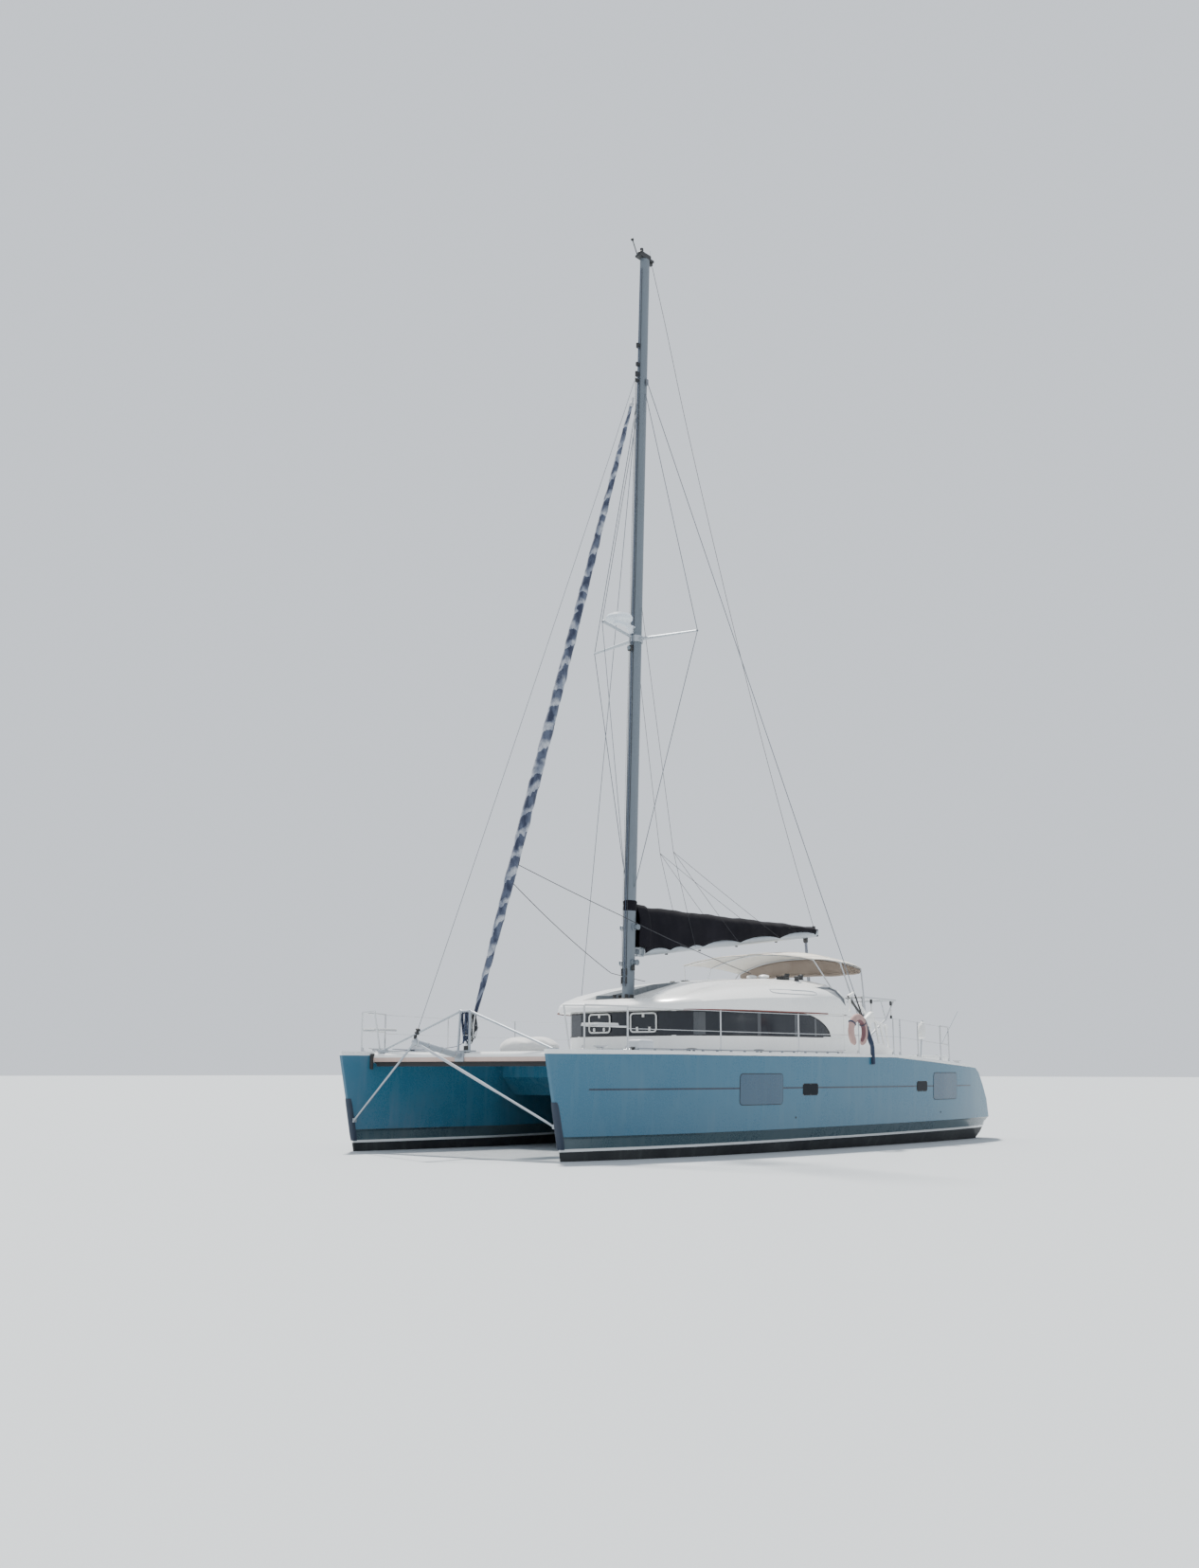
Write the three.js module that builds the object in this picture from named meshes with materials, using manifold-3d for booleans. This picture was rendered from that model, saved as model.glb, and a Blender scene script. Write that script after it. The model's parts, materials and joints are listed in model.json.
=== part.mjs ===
// Cruising catamaran, about 11.5 m, afloat at its light waterline.
// Millimetres. +X ahead, +Y to port, +Z up. Origin on the waterline, midships, on the centre line.

import * as THREE from 'three';
import { mergeVertices } from 'three/addons/utils/BufferGeometryUtils.js';
import Module from 'manifold-3d';

const wasm = await Module();
wasm.setup();

// Driving dimensions
const halfLength = 5775;
const draft = 1150;
const gap = 0.3;              // between pieces that touch
const deckZ = 1500;           // flat deck amidships
const innerSide = 1450;       // inner topside of each hull along the bridgedeck
const bridgeFront = 2900;
const bridgeAft = -4600;
const bridgeUnder = 830;
const saloonSole = 1000;
const cockpitSole = 1050;
const bulkheadX = -2000;      // forward face of the cockpit bulkhead
const bulkheadThick = 60;
const wallThick = 60;
const roofEdgeZ = 2200;       // visor edge, top of the window band
const sillZ = 1800;           // foot of the window band
const mastFoot = [1390, 0, 2400];
const mastTop = [840, 0, 16130];
const houndsZ = 13650;
const beamX = 5220;           // forward crossbeam
const chainplate = [-1000, 3266, 1620];

// Past the part's own faces, for solids that cut right through it
const far = 3000;
const past = { low: 1400, high: 2400, top: 3300 };

// Colours from the photo
const paint = {
  gelcoat: { color: 0xe9edf0, roughness: 0.3, metalness: 0 },
  deck: { color: 0xdcdfe0, roughness: 0.6, metalness: 0 },
  antifoul: { color: 0x15181b, roughness: 0.8, metalness: 0 },
  alloy: { color: 0x9aa0a6, roughness: 0.45, metalness: 0.8 },
  steel: { color: 0xc9ccd0, roughness: 0.2, metalness: 1 },
  wire: { color: 0x585d66, roughness: 0.4, metalness: 0.9 },
  smoked: { color: 0x1c2127, roughness: 0.1, metalness: 0 },
  navy: { color: 0x27354f, roughness: 0.9, metalness: 0 },
  black: { color: 0x121316, roughness: 0.9, metalness: 0 },
  cream: { color: 0xe4ddd0, roughness: 0.85, metalness: 0 },
  net: { color: 0xc8ccd0, roughness: 0.9, metalness: 0 },
  bronze: { color: 0x8a6b3a, roughness: 0.35, metalness: 1 },
  engine: { color: 0x3f6b52, roughness: 0.5, metalness: 0.3 },
  faded: { color: 0xc9938c, roughness: 0.8, metalness: 0 },
  radome: { color: 0xdfe6ec, roughness: 0.35, metalness: 0 },
};

const group = new THREE.Group();
const V = (x, y, z) => new THREE.Vector3(x, y, z);

// Solids

function solid(geometry) {
  const bare = geometry.clone();
  for (const name of Object.keys(bare.attributes)) {
    if (name !== 'position') bare.deleteAttribute(name);
  }
  const merged = mergeVertices(bare, 0.001);
  const mesh = new wasm.Mesh({
    numProp: 3,
    vertProperties: new Float32Array(merged.attributes.position.array),
    triVerts: new Uint32Array(merged.index.array),
  });
  return new wasm.Manifold(mesh);
}

function put(name, shape, finish) {
  const mesh = shape.getMesh();
  const geometry = new THREE.BufferGeometry();
  geometry.setAttribute('position', new THREE.BufferAttribute(mesh.vertProperties, 3));
  geometry.setIndex(new THREE.BufferAttribute(mesh.triVerts, 1));
  geometry.computeVertexNormals();
  const node = new THREE.Mesh(geometry, new THREE.MeshStandardMaterial(finish));
  node.name = name;
  group.add(node);
  return node;
}

const join = (shapes) => shapes.reduce((sum, shape) => sum.add(shape));
const cut = (shape, ...tools) => tools.reduce((rest, tool) => rest.subtract(tool), shape);

// Closed skin through rings of points, with a fan over each end
function loft(rings) {
  const count = rings[0].length;
  const points = rings.flat();
  const middle = (ring) => ring.reduce((sum, p) => sum.add(p), V(0, 0, 0)).divideScalar(count);
  const last = rings.length - 1;
  points.push(middle(rings[0]), middle(rings[last]));
  const faces = [];
  for (let i = 0; i < last; i += 1) {
    for (let j = 0; j < count; j += 1) {
      const a = i * count + j;
      const b = i * count + ((j + 1) % count);
      faces.push([a, b, b + count], [a, b + count, a + count]);
    }
  }
  for (let j = 0; j < count; j += 1) {
    const k = (j + 1) % count;
    faces.push([points.length - 2, k, j]);
    faces.push([points.length - 1, last * count + j, last * count + k]);
  }
  let volume = 0;
  for (const [a, b, c] of faces) {
    volume += points[a].dot(V(0, 0, 0).crossVectors(points[b], points[c]));
  }
  const index = faces.flatMap((face) => (volume < 0 ? [face[0], face[2], face[1]] : face));
  const geometry = new THREE.BufferGeometry();
  const flat = points.flatMap((p) => [p.x, p.y, p.z]);
  geometry.setAttribute('position', new THREE.Float32BufferAttribute(flat, 3));
  geometry.setIndex(index);
  return solid(geometry);
}

function box(x0, x1, y0, y1, z0, z1) {
  const geometry = new THREE.BoxGeometry(x1 - x0, y1 - y0, z1 - z0);
  geometry.translate((x0 + x1) / 2, (y0 + y1) / 2, (z0 + z1) / 2);
  return solid(geometry);
}

// Round bar from a to b
function bar(a, b, radius, sides = 8, endRadius = radius) {
  const from = V(...a);
  const along = V(...b).sub(from);
  const geometry = new THREE.CylinderGeometry(endRadius, radius, along.length(), sides);
  geometry.translate(0, along.length() / 2, 0);
  const turn = new THREE.Quaternion().setFromUnitVectors(V(0, 1, 0), along.clone().normalize());
  geometry.applyQuaternion(turn);
  geometry.translate(from.x, from.y, from.z);
  return solid(geometry);
}

function ball(at, radius, across = 8, up = 6) {
  const geometry = new THREE.SphereGeometry(radius, across, up);
  geometry.rotateX(Math.PI / 2);
  geometry.translate(...at);
  return solid(geometry);
}

// Bent bar of one section, mitred at each bend
function pipe(corners, radius, sides = 6) {
  const points = corners.map((p) => V(...p));
  const runs = points.slice(1).map((p, i) => p.clone().sub(points[i]).normalize());
  const turn = new THREE.Quaternion().setFromUnitVectors(V(1, 0, 0), runs[0]);
  let ring = circle(V(0, 0, 0), radius, sides).map((q) => q.applyQuaternion(turn).add(points[0]));
  const rings = [ring];
  runs.forEach((run, i) => {
    const plane = run.clone().add(runs[i + 1] ?? run).normalize();
    const at = points[i + 1];
    ring = ring.map((q) => q.clone().addScaledVector(run, at.clone().sub(q).dot(plane) / run.dot(plane)));
    rings.push(ring);
  });
  return loft(rings);
}

// Ring of points around the X axis
function circle(at, radius, sides) {
  return Array.from({ length: sides }, (_, k) => {
    const a = (2 * Math.PI * k) / sides;
    return V(at.x, at.y + radius * Math.cos(a), at.z + radius * Math.sin(a));
  });
}

// Prisms: a flat outline pushed across the boat, along it, or upwards
const outline = (points) => new THREE.Shape(points.map(([a, b]) => new THREE.Vector2(a, b)));
const push = (points, depth) => new THREE.ExtrudeGeometry(outline(points), { depth, bevelEnabled: false });

function acrossBoat(points, y0, y1) {
  const geometry = push(points, y1 - y0);
  geometry.rotateX(Math.PI / 2);
  geometry.translate(0, y1, 0);
  return solid(geometry);
}

function upwards(points, z0, z1) {
  const geometry = push(points, z1 - z0);
  geometry.translate(0, 0, z0);
  return solid(geometry);
}

const toStarboard = (shape) => shape.mirror([0, 1, 0]);

// Smooth curve through a table column that never overshoots its rows
function along(table, xName, name, x) {
  const last = table.length - 1;
  const step = Math.sign(table[last][xName] - table[0][xName]);
  let i = 0;
  while (i < last - 1 && (x - table[i + 1][xName]) * step > 0) i += 1;
  const slope = (k) => (table[k + 1][name] - table[k][name]) / (table[k + 1][xName] - table[k][xName]);
  const tangent = (k) => {
    if (k === 0) return slope(0);
    if (k === last) return slope(last - 1);
    const [a, b] = [slope(k - 1), slope(k)];
    return a * b <= 0 ? 0 : (2 * a * b) / (a + b);
  };
  const [p, q] = [table[i], table[i + 1]];
  const h = q[xName] - p[xName];
  const t = Math.min(1, Math.max(0, (x - p[xName]) / h));
  const [t2, t3] = [t * t, t * t * t];
  return (2 * t3 - 3 * t2 + 1) * p[name] + (t3 - 2 * t2 + t) * h * tangent(i)
    + (3 * t2 - 2 * t3) * q[name] + (t3 - t2) * h * tangent(i + 1);
}

const rows = (names, lines) => lines.map((line) => Object.fromEntries(names.map((n, i) => [n, line[i]])));

// Port hull. Sections from the stem aft: lean moves a section's foot aft, and out and inn are
// the outer and inner sides at the sheer, at the chine and at the waterline.
const hullRows = rows(
  ['x', 'lean', 'out', 'inn', 'chineOut', 'chineInn', 'waterOut', 'waterInn', 'sheer', 'bottom'],
  [
    [5775, 335, 2190, 2130, 2184, 2136, 2180, 2140, 1522, -230],
    [5300, 260, 2395, 1985, 2350, 2020, 2300, 2045, 1520, -430],
    [4500, 150, 2660, 1785, 2600, 1830, 2490, 1900, 1514, -560],
    [3300, 40, 2930, 1530, 2875, 1560, 2710, 1740, 1506, -620],
    [2900, 10, 2990, 1450, 2935, 1450, 2750, 1710, 1502, -635],
    [1600, 0, 3130, 1450, 3080, 1450, 2860, 1690, 1500, -640],
    [-1600, 0, 3265, 1450, 3215, 1450, 2960, 1690, 1500, -640],
    [-3500, 0, 3235, 1450, 3185, 1450, 2930, 1700, 1405, -500],
    [-4600, 0, 3140, 1450, 3095, 1450, 2880, 1720, 1345, -320],
    [-5300, 0, 3020, 1520, 2985, 1550, 2830, 1740, 1300, -90],
    [-5775, 0, 2930, 1600, 2900, 1640, 2800, 1780, 1290, 230],
  ],
);
const hullAt = (name, x) => along(hullRows, 'x', name, x);
const chineZ = (x) => 330 + (60 * (halfLength - x)) / (2 * halfLength);
const sheerZ = (x) => hullAt('sheer', x);

function hullRing(x) {
  const [out, inn, chineOut, chineInn, waterOut, waterInn, sheer, bottom, lean] = [
    'out', 'inn', 'chineOut', 'chineInn', 'waterOut', 'waterInn', 'sheer', 'bottom', 'lean',
  ].map((name) => hullAt(name, x));
  const middle = (waterOut + waterInn) / 2;
  const flat = Math.min(150, 0.2 * (waterOut - waterInn));
  const chine = chineZ(x);
  const ledge = Math.min(45, 0.2 * (chineOut - chineInn));
  const water = Math.max(0, bottom + 60);
  const depth = water - bottom;
  const side = (sheerY, chineY, waterY, sign) => {
    const turn = [30, 60, 90].map((degrees) => {
      const a = THREE.MathUtils.degToRad(degrees);
      const reach = Math.abs(waterY - middle) - flat;
      return [middle + sign * (flat + reach * Math.cos(a)), water - depth * Math.sin(a)];
    });
    return [[sheerY, sheer], [chineY, chine], [chineY - sign * ledge, chine - 30], [waterY, water], ...turn];
  };
  const points = [...side(out, chineOut, waterOut, 1), ...side(inn, chineInn, waterInn, -1).reverse()];
  return points.map(([y, z]) => V(x - (lean * (sheer - z)) / sheer, y, z));
}

const hullStations = [];
for (let i = 0; i < hullRows.length - 1; i += 1) {
  const [from, to] = [hullRows[i].x, hullRows[i + 1].x];
  const steps = Math.abs(to - from) > 1500 ? 3 : 2;
  for (let k = 0; k < steps; k += 1) hullStations.push(from + ((to - from) * k) / steps);
}
hullStations.push(-halfLength);

// Stern: the topside falls away in a bow, and three treads lead down to the water
const sternCurve = [
  [-4640, 1343], [-4900, 1300], [-5130, 1200], [-5360, 990], [-5600, 720], [-5710, 430], [-5780, 240],
];
const treads = [[-4600, 1110], [-4900, 1110], [-4900, 770], [-5220, 770], [-5220, 420]];
const treadOuterY = 2790;

// Engine well under a lid in each side deck
const well = { x0: -4500, x1: -3880, y0: 1960, y1: 2640, floor: 120, coaming: 1470 };
const rudderStock = [-4960, 2300];
const stockRadius = 25;
const bore = stockRadius + 0.8;
const stockTop = 60;
const driveX = -3700;
const hullMiddle = 2325;

function hull() {
  let shape = loft(hullStations.map(hullRing));
  const [pastStern, pastDeck, rim] = [-6200, 2200, 80];
  const [sternTop, sternFoot] = [sternCurve[0], sternCurve[sternCurve.length - 1]];
  const [treadTop, treadFoot] = [treads[0], treads[treads.length - 1]];
  const above = [...sternCurve, [pastStern, sternFoot[1]], [pastStern, pastDeck], [sternTop[0], pastDeck]];
  const steps = [...treads, [pastStern, treadFoot[1]], [pastStern, pastDeck], [treadTop[0], pastDeck]];
  const coaming = box(well.x0 - rim, well.x1 + rim, well.y0 - rim, well.y1 + rim, 1250, well.coaming);
  shape = shape.add(coaming);
  return cut(
    shape,
    acrossBoat(above, 1000, 4000),
    acrossBoat(steps, 1000, treadOuterY),
    box(well.x0, well.x1, well.y0, well.y1, well.floor, 2000),
    bar([...rudderStock, -600], [...rudderStock, stockTop + 1], bore, 24),
  );
}

const portHull = hull();
put('hull_port', portHull, paint.gelcoat);
put('hull_starboard', toStarboard(portHull), paint.gelcoat);

function bothSides(name, shape, finish) {
  put(`${name}_port`, shape, finish);
  put(`${name}_starboard`, toStarboard(shape), finish);
}

// Foil section: rows of half thickness along the chord
const foilShape = [[0, 0], [0.03, 0.45], [0.15, 0.9], [0.35, 1], [0.65, 0.72], [1, 0.06]];
function foilRing(noseX, chord, thick, y, z) {
  const upper = foilShape.map(([t, h]) => V(noseX - t * chord, y + (h * thick) / 2, z));
  const lower = foilShape.slice(1).map(([t, h]) => V(noseX - t * chord, y - (h * thick) / 2, z));
  return [...upper, ...lower.reverse()];
}

// Low keels under the flat of each hull
const keelTop = -640 - gap;
bothSides('keel', loft([
  foilRing(1250, 2500, 210, hullMiddle, keelTop),
  foilRing(1000, 2150, 190, hullMiddle, -1060),
  foilRing(880, 1950, 150, hullMiddle, -draft),
]), paint.antifoul);

// Engines on their beds
const engineSize = { half: 240, top: 720, clear: 30 };
bothSides('engine', box(
  well.x0 + engineSize.clear, well.x1 - engineSize.clear,
  hullMiddle - engineSize.half, hullMiddle + engineSize.half,
  well.floor + gap, engineSize.top,
), paint.engine);

// Saildrive legs, cut to the hull's bottom
const shaftZ = -790;
const shaftRadius = 16;
const propX = driveX - 240;
function saildrive() {
  const leg = loft([
    foilRing(driveX + 130, 300, 110, hullMiddle, -380),
    foilRing(driveX + 110, 260, 90, hullMiddle, shaftZ),
  ]);
  const gearcase = loft([0, 1, 2, 3, 4, 5].map((k) => {
    const t = k / 5;
    const radius = 22 + 38 * Math.sin(Math.PI * Math.min(1, t * 1.15) * 0.75 + 0.25);
    return circle(V(driveX + 190 - 400 * t, hullMiddle, shaftZ), radius, 12);
  }));
  const skeg = loft([
    foilRing(driveX + 70, 180, 30, hullMiddle, shaftZ),
    foilRing(driveX + 20, 110, 14, hullMiddle, shaftZ - 190),
  ]);
  const plate = box(driveX - 180, driveX + 150, hullMiddle - 95, hullMiddle + 95, -575, -563);
  const onShaft = (x) => [x, hullMiddle, shaftZ];
  const bored = bar(onShaft(driveX - 360), onShaft(driveX - 60), shaftRadius + 0.8, 24);
  return cut(join([leg, gearcase, skeg, plate]), bored, portHull.translate([0, 0, -gap]));
}

bothSides('saildrive', saildrive(), paint.antifoul);

// Three-bladed propellers
const propPitch = 300;
function propeller() {
  const onShaft = (x) => [x, hullMiddle, shaftZ];
  const hub = bar(onShaft(propX + 20), onShaft(propX - 90), 46, 16, 30);
  const shaft = bar(onShaft(propX + 10), onShaft(driveX - 65), shaftRadius, 24);
  const blades = [0, 1, 2].map((k) => {
    const pitchAt = (r) => Math.atan2(propPitch, 2 * Math.PI * r);
    const ring = (r, chord, thick) => {
      const a = pitchAt(r);
      return [[1, 0], [0.5, 1], [-0.5, 1], [-1, 0], [-0.5, -1], [0.5, -1]].map(([c, t]) => {
        const [u, w] = [(c * chord) / 2, (t * thick) / 2];
        return V(u * Math.sin(a) + w * Math.cos(a), u * Math.cos(a) - w * Math.sin(a), r);
      });
    };
    const blade = loft([ring(30, 70, 14), ring(90, 120, 10), ring(160, 125, 7), ring(205, 60, 4)]);
    return blade.rotate([120 * k, 0, 0]).translate([propX - 35, hullMiddle, shaftZ]);
  });
  return join([hub, shaft, ...blades]);
}
bothSides('prop', propeller(), paint.bronze);

// Spade rudders on their stocks
const rudderTop = -340;
function rudder() {
  const [x, y] = rudderStock;
  const blade = loft([
    foilRing(x + 150, 520, 70, y, rudderTop),
    foilRing(x + 120, 430, 55, y, -980),
    foilRing(x + 90, 360, 30, y, -1040),
  ]);
  return join([blade, bar([x, y, rudderTop - 200], [x, y, stockTop], stockRadius, 24)]);
}
bothSides('rudder', rudder(), paint.antifoul);

// Bridgedeck: one slab between the hulls with the saloon and cockpit wells sunk in it
const doorHalf = 400;
function bridgedeck() {
  const top = [];
  for (let x = bridgeAft; x <= bridgeFront; x += 250) top.push([x, sheerZ(x)]);
  const profile = [...top, [bridgeFront, 1120], [bridgeFront - 300, bridgeUnder], [bridgeAft, bridgeUnder]];
  const slab = acrossBoat(profile, -innerSide + gap, innerSide - gap);
  const wellY = innerSide - 90;
  return cut(
    slab,
    box(bulkheadX + 60, 1350, -wellY, wellY, saloonSole, 2000),
    box(-4180, bulkheadX - 60, -wellY, wellY, cockpitSole, 2000),
    box(bulkheadX - 70, bulkheadX + 70, -doorHalf, doorHalf, cockpitSole, 2000),
  );
}
put('bridgedeck', bridgedeck(), paint.deck);

// Crossbeam between the bows, with flanges on the inner topsides
const beamZ = 1420;
const beamTall = 165;
const beamDeep = 150;
function beam() {
  const ring = (y, s) => Array.from({ length: 14 }, (_, k) => {
    const a = (2 * Math.PI * k) / 14;
    return V(beamX + (s * beamDeep * Math.cos(a)) / 2, y, beamZ + (s * beamTall * Math.sin(a)) / 2);
  });
  const intoHulls = 2300;
  return cut(loft([ring(-intoHulls, 1), ring(intoHulls, 1)]), portHull.translate([0, -gap, 0]),
    toStarboard(portHull).translate([0, gap, 0]));
}
put('crossbeam', beam(), paint.alloy);

// Gull striker: a raised post at the centre and a rod down to each end of the beam
const beamTop = beamZ + (beamTall / 2) * Math.cos(Math.PI / 14);
const strikerHeads = [-1, 1].map((s) => [beamX - 20, s * 100, 2100]);
const strikerEndY = 1790;
function striker() {
  const foot = beamTop + gap;
  const posts = strikerHeads.map((head) => bar([beamX, head[1] * 1.2, foot + 2], head, 18));
  const pad = box(beamX - 90, beamX + 60, -170, 170, foot, foot + 22);
  const tie = bar(strikerHeads[0], strikerHeads[1], 17);
  const rods = [-1, 1].flatMap((s) => [
    bar(strikerHeads[(s + 1) / 2], [beamX, s * strikerEndY, foot + 30], 17),
    box(beamX - 50, beamX + 50, s * strikerEndY - 70, s * strikerEndY + 70, foot, foot + 45),
  ]);
  return join([pad, tie, ...strikerHeads.map((head) => ball(head, 28)), ...posts, ...rods]);
}
put('gull_striker', striker(), paint.steel);

// Bowsprit with its whisker stays to the stems
const spritTip = [6200, 0, 1630];
const whiskerEnd = { x: 5512, y: 2090, z: 470 };
function bowsprit() {
  const root = [beamX + beamDeep / 2 + gap, 0, beamZ + 20];
  const { x, y, z } = whiskerEnd;
  const whiskers = [-1, 1].map((s) => bar(spritTip, [x, s * y, z], 16));
  const lugs = [-1, 1].map((s) => box(x - 32, x + 18, s * (y + 10) - 30, s * (y + 10) + 30, z - 30, z + 30));
  const heel = box(root[0], root[0] + 20, -90, 90, beamZ - 60, beamZ + 80);
  const spar = join([bar(root, spritTip, 46, 12), ball(spritTip, 52), heel]);
  return cut(join([spar, ...whiskers, ...lugs]), portHull.translate([0, -gap, 0]),
    toStarboard(portHull).translate([0, gap, 0]), portHull.translate([gap, 0, 0]),
    toStarboard(portHull).translate([gap, 0, 0]));
}
put('bowsprit', bowsprit(), paint.steel);

// Trampolines between the beam and the foredeck
function trampoline() {
  const [laced, middle, thick] = [45, 30, 12];
  const inner = (x) => hullAt('inn', x) - laced;
  const [x0, x1] = [bridgeFront + gap, beamX - beamDeep / 2 - gap];
  const side = [x0, 3300, 3700, 4100, 4500, 4900, x1].map((x) => [x, inner(x)]);
  return upwards([[x0, middle], ...side, [x1, middle]], beamZ - thick / 2, beamZ + thick / 2);
}
bothSides('trampoline', trampoline(), paint.net);

// Cabin: upright walls on a plan that rounds to the front, drawn on the port side
const planRows = [
  [1600, 0], [1500, 950], [1340, 1300], [1040, 1600], [600, 1830], [0, 1960], [-900, 2060], [bulkheadX, 2100],
];
function cabinPlan(inset, aft = bulkheadX) {
  const port = planRows.map(([x, y], i, all) => {
    const before = all[Math.max(0, i - 1)];
    const after = all[Math.min(all.length - 1, i + 1)];
    const [dx, dy] = i === 0 ? [0, 1] : [after[0] - before[0], after[1] - before[1]];
    const size = Math.hypot(dx, dy);
    return [x - (inset * dy) / size, y + (inset * dx) / size];
  });
  const aftY = port[port.length - 1][1];
  port[port.length - 1][0] = bulkheadX;
  if (aft < bulkheadX) port.push([aft, aftY]);
  const starboard = port.slice(1).map(([x, y]) => [x, -y]).reverse();
  return [...port, ...starboard];
}
const cabinPrism = (inset, z0, z1, aft) => upwards(cabinPlan(inset, aft), z0, z1);

// Side view of the window band: level, then rounding down at its aft end
const bandTop = roofEdgeZ - 12;
const bandShape = (grow) => {
  const [level, end] = [-650, -1600];
  const foot = sillZ - grow;
  const tall = bandTop - sillZ + 2 * grow;
  const arc = [];
  for (let k = 0; k <= 6; k += 1) {
    const a = (Math.PI * k) / 12;
    arc.push([level + (end - grow - level) * Math.sin(a), foot + tall * Math.cos(a) ** 1.2]);
  }
  arc[6][1] = foot;
  return [[far, foot + tall], ...arc, [far, foot]];
};
const paneThick = 12;
const pillars = [[1180, 1330], [250, 330], [-650, -570], [-1180, -1110]];
const frontPillars = { at: [-1000, 0, 1000], half: 40 };
const hatches = { y0: 220, y1: 730, z0: 1850, z1: 2165 };

function cabinWall() {
  const room = cabinPrism(wallThick, past.low, past.high, bulkheadX - 300);
  const shell = cut(cabinPrism(0, deckZ + gap, roofEdgeZ - gap), room);
  const behindPanes = cabinPrism(paneThick + gap, past.low, past.high);
  const recess = cabinPrism(-80, sillZ, bandTop).subtract(behindPanes);
  const rounded = acrossBoat(bandShape(0), -far, far);
  let holes = acrossBoat(bandShape(-70), -far, far);
  for (const [x0, x1] of pillars) {
    holes = holes.subtract(box(x0, x1, -far, far, past.low, past.high));
  }
  for (const y of frontPillars.at) {
    const [y0, y1] = [y - frontPillars.half, y + frontPillars.half];
    holes = holes.subtract(box(1200, far, y0, y1, past.low, past.high));
  }
  return cut(shell, recess.intersect(rounded), holes);
}
put('cabin_wall', cabinWall(), paint.gelcoat);

// Smoked panes, in one band around the cabin
const cornerX = 1340;
function panes() {
  const inside = cabinPrism(paneThick, past.low, past.high, bulkheadX - 300);
  const ring = cabinPrism(0, sillZ + gap, bandTop - gap).subtract(inside);
  const band = ring.intersect(acrossBoat(bandShape(-gap), -far, far));
  const ahead = box(cornerX, far, -far, far, past.low, past.high);
  const hatchHoles = [-1, 1].map((s) => {
    const [a, b] = [s * hatches.y0, s * hatches.y1].sort((p, q) => p - q);
    return box(1300, far, a, b, hatches.z0, hatches.z1);
  });
  const aft = box(-far, cornerX - 2 * gap, 0, far, past.low, past.high);
  return { front: cut(band.intersect(ahead), ...hatchHoles), side: band.intersect(aft) };
}
const glazing = panes();
put('window_front', glazing.front, paint.smoked);
bothSides('window', glazing.side, paint.smoked);

// Opening hatches in the front panes, hinged along their upper edges
const knuckle = 6;
function windowHatch() {
  const [clear, fromCorner] = [5, 60];
  const [y0, y1] = [hatches.y0 + clear, hatches.y1 - clear];
  const [z0, z1] = [hatches.z0 + clear, hatches.z1 - clear];
  const [nose, turn] = planRows;
  const faceX = (y) => nose[0] + ((turn[0] - nose[0]) * y) / turn[1];
  const [hinge0, hinge1] = [y0 + fromCorner, y1 - fromCorner];
  const slab = (inset, back, front) => upwards([
    [faceX(y0 + inset) - back, y0 + inset], [faceX(y0 + inset) + front, y0 + inset],
    [faceX(y1 - inset) + front, y1 - inset], [faceX(y1 - inset) - back, y1 - inset],
  ], z0 + inset, z1 - inset);
  const knuckleAt = (y) => [faceX(y) + knuckle + gap, y, hatches.z1 + 7];
  const pin = bar(knuckleAt(hinge0), knuckleAt(hinge1), knuckle, 12);
  const leaf = upwards([
    [faceX(hinge0) + 2, hinge0], [faceX(hinge0) + 10, hinge0],
    [faceX(hinge1) + 10, hinge1], [faceX(hinge1) + 2, hinge1],
  ], z1 - 12, hatches.z1 + 7);
  return join([slab(0, paneThick, 14), leaf, pin]);
}
bothSides('window_hatch', windowHatch(), paint.gelcoat);

// Roof: arched sections from the visor's tip aft
const roofRows = rows(['x', 'half', 'crown'], [
  [1930, 260, 2262],
  [1860, 820, 2330],
  [1680, 1290, 2425],
  [1380, 1600, 2510],
  [900, 1840, 2620],
  [300, 1980, 2720],
  [-500, 2060, 2800],
  [-1300, 2110, 2860],
  [-2120, 2140, 2885],
]);
const roofAft = -2120;
const roofThick = 55;
function roofRing(x, inset) {
  const half = along(roofRows, 'x', 'half', x) - inset;
  const tall = along(roofRows, 'x', 'crown', x) - inset - roofEdgeZ;
  const [power, brow] = [0.72, 28];
  const arc = [];
  for (let k = 0; k <= 12; k += 1) {
    const a = (Math.PI * k) / 12;
    const [c, s] = [Math.cos(a), Math.sin(a)];
    const z = roofEdgeZ + brow + (tall - brow) * s ** power;
    arc.push(V(x, Math.sign(c) * half * Math.abs(c) ** power, z));
  }
  return [V(x, half, roofEdgeZ), ...arc, V(x, -half, roofEdgeZ)];
}
// Valley between the roof's two lobes: wide around the mast, closing and rising aft
const valleyFloor = 2400;
const valleyPlan = [[2300, 1040], [1710, 760], [1310, 610], [600, 420], [-200, 300], [-900, 240]];
const valleyRise = [[2300, valleyFloor], [1180, valleyFloor], [500, 2565], [0, 2690], [-700, 2850]];
function valley(grow) {
  const portEdge = valleyPlan.map(([x, y]) => [x, y + grow]);
  const plan = upwards([...portEdge, ...portEdge.map(([x, y]) => [x, -y]).reverse()], 2000, past.top);
  const ends = [valleyRise[valleyRise.length - 1][0], valleyRise[0][0]].map((x) => [x, past.top]);
  const side = [...valleyRise, ...ends].map(([x, z]) => [x - grow, z - grow]);
  return plan.intersect(acrossBoat(side, -1200, 1200));
}
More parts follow.
